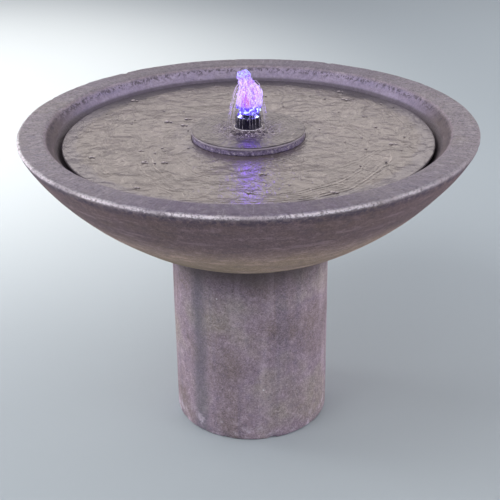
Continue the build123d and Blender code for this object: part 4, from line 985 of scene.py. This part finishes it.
def plate_uneven(points):
    on_top = fade(points[:, 2], PLATE_Z - 3 * MM, PLATE_Z - 1 * MM)
    clear = fade(radii(points), PLATE_HOLE_R, PLATE_HOLE_R + 8 * MM)
    return (hand_cast(points, 0.4 * MM, 0.18 * MM) * (1 - on_top) - 0.35 * MM * on_top) * clear


def make_plate():
    """The cover plate, cast with a tapered edge."""
    corners = ((PLATE_HOLE_R, PLATE_UNDER_Z), (PLATE_UNDER_R, PLATE_UNDER_Z),
               (PLATE_R, PLATE_Z), (PLATE_HOLE_R, PLATE_Z))
    section = rounded(corners, (40, 14, 40, 8), ((3 * MM, 4), (5.2 * MM, 6), (2 * MM, 4)))
    plate = new_piece("stone_plate", *revolved(section, 360), DAMP_STONE, "cover_plate")
    shift_along_normals(plate, plate_uneven)
    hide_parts("cover_plate")


def cap_uneven(points):
    heights = points[:, 2]
    on_side = fade(radii(points), CAP_R - 3 * MM, CAP_R - 0.5 * MM)
    on_side = on_side * fade(heights, PLATE_Z + 1 * MM, PLATE_Z + 4 * MM)
    sunk = -0.35 * MM * fade(heights, CAP_Z - 1 * MM, CAP_Z)
    return hand_cast(points, 0.0, 0.35 * MM) * on_side - 0.5 * MM * on_side + sunk


def make_cap():
    """The raised cap disc."""
    corners = ((CAP_HOLE_R, PLATE_Z), (CAP_R, PLATE_Z), (CAP_R, CAP_Z), (CAP_HOLE_R, CAP_Z))
    section = rounded(corners, (16, 9, 26, 6), ((1 * MM, 3), (3 * MM, 6), (1.5 * MM, 4)))
    cap = new_piece("stone_cap", *revolved(section, 300), CAP_STONE, "cap_disc")
    shift_along_normals(cap, cap_uneven)
    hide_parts("cap_disc")


# ------------------------------------------------------------------------ water
# Trains of ripples on the plate: distance from the axis, direction of the middle from the front,
# half the sector in degrees, how far the line drifts outwards along it, and height in millimetres.
TRAINS = (
    (0.290, 40, 42, -0.034, 0.62), (0.262, 36, 36, -0.030, 0.50), (0.232, 60, 26, 0.020, 0.42),
    (0.300, 6, 30, 0.004, 0.42), (0.212, -50, 28, 0.052, 0.60), (0.250, -42, 24, 0.040, 0.50),
    (0.180, -34, 24, 0.034, 0.42), (0.275, -66, 22, 0.024, 0.45), (0.152, -88, 24, 0.022, 0.42),
    (0.258, -98, 26, -0.024, 0.40), (0.200, 86, 28, -0.026, 0.42), (0.285, 104, 24, 0.015, 0.40),
    (0.175, 128, 26, 0.024, 0.36), (0.245, 158, 28, -0.020, 0.36), (0.190, -142, 28, 0.022, 0.36),
    (0.142, 18, 34, 0.012, 0.36), (0.225, -8, 20, -0.014, 0.34), (0.300, -128, 24, 0.012, 0.36),
)
TRAIN_WAVE = 8.2 * MM
TRAIN_WIDTH = 9.5 * MM
CAP_WAVE, NEAR_CAP_WAVE = 6.5 * MM, 7.5 * MM


def plate_ripples(points):
    """The height of the moving film over the plate, in metres."""
    radius = radii(points)
    direction = np.degrees(np.arctan2(points[:, 0], -points[:, 1]))
    flat = points * (1.0, 1.0, 0.0)
    bend = grain(flat, 0.060, 2.0) * 10 * MM + grain(flat, 0.024, 4.0) * 3.0 * MM
    height = grain(flat, 0.020) * 0.22 * MM + grain(flat, 0.010, 9.0) * 0.13 * MM
    for distance, middle, half, drift, rise in TRAINS:
        along = (direction - middle + 180) % 360 - 180
        away = radius + bend - distance - drift * along / half
        packet = np.cos(TURN * away / TRAIN_WAVE) * np.exp(-((away / TRAIN_WIDTH) ** 2))
        height += rise * MM * packet * fade(np.abs(along), half, half * 0.35)
    near_cap = np.exp(-(radius - CAP_R) / 0.022)
    return height + 0.25 * MM * np.sin(TURN * (radius + bend * 0.3) / NEAR_CAP_WAVE) * near_cap


def cap_ripples(points):
    """The height of the film over the cap: rings and chop round the falling water."""
    radius = radii(points)
    flat = points * (1.0, 1.0, 0.0)
    bend = grain(flat, 0.018, 6.0) * 2.5 * MM
    splash = np.exp(-np.abs(radius - 0.038) / 0.014)
    rings = np.sin(TURN * (radius + bend) / CAP_WAVE) * (0.14 + 0.30 * splash)
    chop = grain(flat, 0.007, 11.0) * (0.16 + 1.35 * splash) + grain(flat, 0.014, 1.0) * 0.45
    heap = MOUND / MM * fade(radius + bend * 2.6, MOUND_R, RING_R)
    return (rings + chop + heap) * MM


def film(name, section, segments, top_z, ripples, material, body):
    """A closed film whose upper face is raised by its ripples."""
    piece = new_piece(name, *revolved(section[::-1], segments), material, body)
    points = coordinates(piece.data)
    points[:, 2] += ripples(points) * fade(points[:, 2], top_z - 0.25 * MM, top_z - 0.05 * MM)
    move_vertices(piece.data, points)


def make_films():
    """Water over the plate and over the cap, each drawn down over its stone's edge."""
    upper, start = PLATE_FILM_Z, CAP_R + 0.3 * MM
    hem = PLATE_R - 3.2 * MM
    section = straight((start, upper), (hem - 2.5 * MM, upper), 176)
    section += bezier([(hem - 1.5 * MM, upper - 0.1 * MM), (hem + 1.0 * MM, upper - 0.4 * MM),
                       (hem + 1.0 * MM, PLATE_Z - 2.2 * MM)], 6)
    section += straight((hem - 1.8 * MM, PLATE_Z - 7 * MM), (hem - 3.4 * MM, PLATE_Z - 9 * MM), 2)
    section += straight((hem - 3 * MM, PLATE_Z - 0.3 * MM), (start, PLATE_Z - 0.3 * MM), 10)
    film("water_on_plate", section, 480, upper, plate_ripples, PLATE_WATER, "cover_plate")

    upper, start = CAP_FILM_Z, RING_R + 0.4 * MM
    lip = CAP_R + 0.2 * MM
    section = straight((start, upper), (lip - 3 * MM, upper), 84)
    section += bezier([(lip - 2.4 * MM, upper - 0.05 * MM), (lip + 0.5 * MM, upper),
                       (lip, CAP_Z - 2.5 * MM)], 6)
    section += straight((lip - 0.5 * MM, CAP_Z - 4 * MM), (lip - 2 * MM, CAP_Z - 0.4 * MM), 2)
    section += straight((lip - 5 * MM, CAP_Z - 0.3 * MM), (start, CAP_Z - 0.3 * MM), 8)
    film("water_on_cap", section, 420, upper, cap_ripples, CAP_WATER, "cap_disc")


def make_bubbles():
    """Bubbles and drops that ride on the film, in two sizes."""
    random = np.random.default_rng(5)
    shells = []
    for number in range(66):
        angle = random.uniform(0, TURN)
        radius = sqrt(random.uniform((CAP_R + 12 * MM) ** 2, (PLATE_R - 18 * MM) ** 2))
        size = random.uniform(1.6, 3.0) * MM if number % 3 else random.uniform(3.2, 5.0) * MM
        x, y, z = polar(radius, angle, PLATE_FILM_Z + 0.2 * MM)
        shells.append(ball((x, y, z), size, size * 0.42))
        if number % 3 == 0:
            shells.append(ball((x + size * 1.6, y - size * 0.5, z), size * 0.6, size * 0.3))
    new_piece("bubbles_on_plate", *joined(shells), BUBBLES, "cover_plate")


# The foaming core by height above the nozzle's tip, in millimetres: its half width, and how far
# its middle stands to the right of the axis.
JET_HEIGHTS = (0.0, 4.0, 17.0, 33.0, 45.0, 54.0, 62.0, 70.0, 76.0, 80.0, 82.0)
JET_HALF_WIDTHS = (9.0, 20.0, 22.5, 22.5, 20.5, 16.0, 12.5, 12.5, 11.0, 7.0, 2.0)
JET_LEANS = (0.0, 0.0, 1.5, 3.2, 3.8, 0.5, -4.5, -6.5, -6.5, -5.5, -4.5)
JET_HEIGHT = JET_TOP_Z - JET_FOOT_Z


def jet_point(height, angle, share):
    """A point at that share of the core's radius, at an angle and a height above the nozzle's tip."""
    radius = np.interp(height / MM, JET_HEIGHTS, JET_HALF_WIDTHS) * MM * share
    lean = np.interp(height / MM, JET_HEIGHTS, JET_LEANS) * MM
    x, y, z = polar(radius, angle, JET_FOOT_Z + height)
    return float(x + lean), float(y), float(z)


def jet_core():
    """The closed core of the jet."""
    top = JET_HEIGHT - 1.5 * MM
    sides = 110
    points, rows = [(0.0, 0.0, JET_FOOT_Z)], [[0] * sides]
    for height in np.linspace(0.5 * MM, top, 92):
        rows.append(range(len(points), len(points) + sides))
        points.extend(jet_point(height, TURN * step / sides, 0.80) for step in range(sides))
    rows.append([len(points)] * sides)
    points.append((jet_point(top, 0.0, 0.0)[0], 0.0, JET_TOP_Z - 1 * MM))
    return points, [face for lower, upper in zip(rows, rows[1:]) for face in strip(lower, upper)]


def jet_lumps(points):
    drawn = points * np.array((1.0, 1.0, 0.42))
    height = points[:, 2] - JET_FOOT_Z
    size = fade(height, 0.0, 12 * MM) * fade(height, JET_HEIGHT, JET_HEIGHT - 5 * MM)
    return (grain(drawn, 0.0070, 3.0) * 4.2 + grain(drawn, 0.0030, 8.0) * 2.4) * MM * size


def jet_strands(random):
    """Ragged strands that wind up the core, and beads of water on it."""
    shells = []
    for number in range(44):
        angle = TURN * number / 44 + random.uniform(-0.1, 0.1)
        start = random.uniform(2.0, 22.0) * MM
        end = random.uniform(30.0, 68.0) * MM
        share = random.uniform(0.90, 1.02)
        route, widths = [], []
        for height in np.linspace(start, end, 14):
            share += random.uniform(-0.03, 0.03)
            route.append(jet_point(height, angle + height * 3.0, share))
            widths.append(random.uniform(0.35, 0.95) * MM)
        shells.append(tube(route, widths, 7))
    for _ in range(150):
        height = random.uniform(2 * MM, JET_HEIGHT - 3 * MM)
        size = random.uniform(0.6, 2.1) * MM
        centre = jet_point(height, random.uniform(0, TURN), random.uniform(0.84, 1.08))
        shells.append(ball(centre, size, size * random.uniform(1.0, 1.9)))
    return shells


def jet_threads(random):
    """Thin threads that fall from the core onto the cap, and loose drops among them."""
    shells = []
    for number in range(26):
        angle = TURN * number / 26 + random.uniform(-0.10, 0.10)
        land = random.uniform(33.0, 40.0) * MM
        apex = random.uniform(42.0, 64.0) * MM
        drop = JET_FOOT_Z + apex - CAP_FILM_Z
        route, widths = [], []
        for share in np.linspace(0.0, 1.0, 16):
            radius = 14 * MM + (land - 14 * MM) * sqrt(share)
            route.append(polar(radius, angle, JET_FOOT_Z + apex - drop * share))
            widths.append((0.62 - 0.30 * share) * random.uniform(0.7, 1.2) * MM)
        shells.append(tube(route, widths, 6))
    for _ in range(54):
        angle = random.uniform(0, TURN)
        share = random.uniform(0.1, 0.95)
        radius = 12 * MM + 24 * MM * sqrt(share) * random.uniform(0.9, 1.12)
        height = JET_FOOT_Z + 60 * MM - (JET_FOOT_Z + 60 * MM - CAP_Z) * share
        shells.append(ball(polar(radius, angle, height), random.uniform(0.4, 0.9) * MM,
                           random.uniform(0.7, 1.6) * MM, 1))
    return shells


def make_jet():
    """The jet: a lumpy foaming core, strands and beads on it, and threads that fall round it."""
    random = np.random.default_rng(11)
    core = new_piece("water_jet_core", *jet_core(), FOAM, "root")
    shift_along_normals(core, jet_lumps)
    strands = new_piece("water_jet_strands", *joined(jet_strands(random)), STRANDS, "root")
    threads = new_piece("water_jet_threads", *joined(jet_threads(random)), THREADS, "root")
    for piece in (core, strands, threads):
        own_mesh(piece)
    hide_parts("water_jet")


def make_splash():
    """White water on the cap: a collar at the light's foot and drops where the threads land."""
    random = np.random.default_rng(23)
    collar = []
    for angle in (pi * step / 8 for step in range(9)):
        collar.append((RING_R + 1.9 * MM - 1.6 * MM * cos(angle),
                       CAP_FILM_Z + MOUND - 1.2 * MM + 1.9 * MM * sin(angle)))
    points, faces = revolved(collar, 140)
    points[:, 2] += grain(points, 0.006, 2.0) * 0.7 * MM
    shells = [(points, faces)]
    for _ in range(70):
        angle = random.uniform(0, TURN)
        radius = random.uniform(29.0, 46.0) * MM
        size = random.uniform(0.4, 1.0) * MM
        shells.append(ball(polar(radius, angle, CAP_FILM_Z + 0.2 * MM), size, size * 0.5, 1))
    new_piece("splash_on_cap", *joined(shells), SPLASH, "cap_disc")


def make_sponge():
    """The filter foam: a soft block with open cells."""
    low, high = (np.array(corner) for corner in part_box("filter_sponge"))
    points, faces = block(low + 0.3 * MM, high - 0.3 * MM, 44, 2.2 * MM)
    out = points - (low + high) / 2
    small, large = fade(grain(points, 0.0016), -0.1, 0.5), fade(grain(points, 0.004, 5.0), 0.0, 0.5)
    pores = small * 0.5 * MM + large * 0.4 * MM
    points = points - out / np.linalg.norm(out, axis=1)[:, None] * pores[:, None]
    sponge = new_piece("filter_foam_block", points, faces, MATERIALS["sponge"], "intake_cover")
    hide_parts("filter_sponge")


# ------------------------------------------------------------------------ stage
CAMERA_PLACE = (0.0, -1.8822, 1.2452)
CAMERA_DOWN = 25.92
CAMERA_ROLL = -0.77
CAMERA_LENS = 79.71
SENSOR = 36.0
FLOOR_HALF = 7.0
FLOOR_COLOUR = (0.492, 0.563, 0.606)
SKY_GREY, SKY_PANEL = (0.30, 0.295, 0.325), (1.16, 1.05, 1.01)

# Soft boxes: place, aim, (width, height), watts, colour, and spread in degrees.
SOFT_LIGHTS = {
    "key": ((-1.7, -1.3, 2.9), (0, 0, 0.45), (1.8, 1.8), 50.0, (1.0, 0.975, 0.955), 180.0),
    "fill": ((2.5, -1.1, 1.7), (0, 0, 0.4), (1.6, 1.6), 19.0, (1.0, 0.95, 0.93), 180.0),
    "back": ((0.0, 3.6, 3.4), (0, 0, 0.56), (5.0, 2.6), 24.0, (1.0, 0.955, 0.93), 180.0),
    "left_limb": ((-2.3, 0.7, 0.8), (0, 0, 0.25), (0.8, 1.5), 7.2, (1.0, 0.97, 0.98), 110.0),
    "right_limb": ((2.3, 0.7, 0.8), (0, 0, 0.25), (0.8, 1.5), 3.7, (1.0, 0.96, 0.96), 110.0),
}
# Pools of light on the floor: place above it, watts, width in degrees, softness in metres, colour.
POOLS = {
    "glow": ((-1.45, 1.95, 4.0), 960.0, 60, 0.3, (1.0, 0.895, 0.815)),
    "wash": ((1.9, 2.0, 4.0), 150.0, 70, 0.5, (1.0, 1.0, 1.0)),
}
JET_GLOW_RISE, JET_GLOW_OUT, JET_GLOW_SIZE = 36 * MM, 30 * MM, (24 * MM, 70 * MM)
JET_GLOW_POWER, JET_GLOW_COLOUR = 0.020, (0.30, 0.15, 1.0)


def make_camera():
    camera = add("camera", bpy.data.cameras.new("camera"))
    camera.data.lens = CAMERA_LENS
    camera.data.sensor_width = SENSOR
    tilt = Matrix.Rotation(radians(90 - CAMERA_DOWN), 4, "X")
    roll = Matrix.Rotation(radians(CAMERA_ROLL), 4, "Z")
    camera.matrix_world = Matrix.Translation(CAMERA_PLACE) @ tilt @ roll
    bpy.context.scene.camera = camera


def soft_light(name, place, aim, size, power, colour, spread):
    """A soft box, (width, height) in metres, that faces its aim and spreads over that many degrees."""
    light = bpy.data.lights.new(name, "AREA")
    light.shape = "RECTANGLE"
    light.size, light.size_y = size
    light.energy = power
    light.spread = radians(spread)
    light.color = colour
    box = add(name, light)
    box.location = place
    box.rotation_euler = (Vector(aim) - Vector(place)).to_track_quat("-Z", "Y").to_euler()
    box.visible_camera = False


def pool(name, place, power, width, softness, colour):
    """A soft-edged pool of light on the floor below the place."""
    light = bpy.data.lights.new(name, "SPOT")
    light.energy, light.color = power, colour
    light.spot_size, light.spot_blend, light.shadow_soft_size = radians(width), 1.0, softness
    add(name, light).location = place


def make_sky():
    """An even sky with a wide bright panel low at the back, for the water to mirror."""
    world = bpy.data.worlds.new("sky")
    world.use_nodes = True
    nodes = Nodes(world.node_tree, "Generated")
    _, y, z = nodes.axes()
    panel = y.between(0.20, 0.75) * z.between(0.02, 0.16) * z.between(0.42, 0.66, 1.0, 0.0)
    nodes.put(world.node_tree.nodes["Background"].inputs["Color"], nodes.blend(panel, SKY_GREY, SKY_PANEL))
    bpy.context.scene.world = world


def make_stage():
    """A plain pale floor, soft boxes, the jet's own light, pools on the floor and the sky."""
    shader = Shader("pale_floor", Roughness=0.9, Specular_IOR_Level=0.1, Base_Color=FLOOR_COLOUR)
    corners = [(-FLOOR_HALF, -FLOOR_HALF, 0), (FLOOR_HALF, -FLOOR_HALF, 0),
               (FLOOR_HALF, FLOOR_HALF, 0), (-FLOOR_HALF, FLOOR_HALF, 0)]
    floor = add("floor", new_mesh("floor", corners, [(0, 1, 2, 3)]))
    floor.data.materials.append(shader.material)
    for name, values in SOFT_LIGHTS.items():
        soft_light(name, *values)
    middle = Vector((0.0, 0.0, JET_FOOT_Z + JET_GLOW_RISE))
    for quarter in range(4):
        out = Vector(polar(1.0, quarter * pi / 2, 0.0))
        soft_light("jet_glow", middle + out * JET_GLOW_OUT, middle + out, JET_GLOW_SIZE, JET_GLOW_POWER,
                   JET_GLOW_COLOUR, 180.0)
    for name, values in POOLS.items():
        pool(name, *values)
    make_sky()
    bpy.context.scene.view_settings.view_transform = "Standard"


dress_cad_nodes()
make_bowl()
make_pedestal()
make_plate()
make_cap()
make_films()
make_bubbles()
make_jet()
make_splash()
make_sponge()
make_camera()
make_stage()
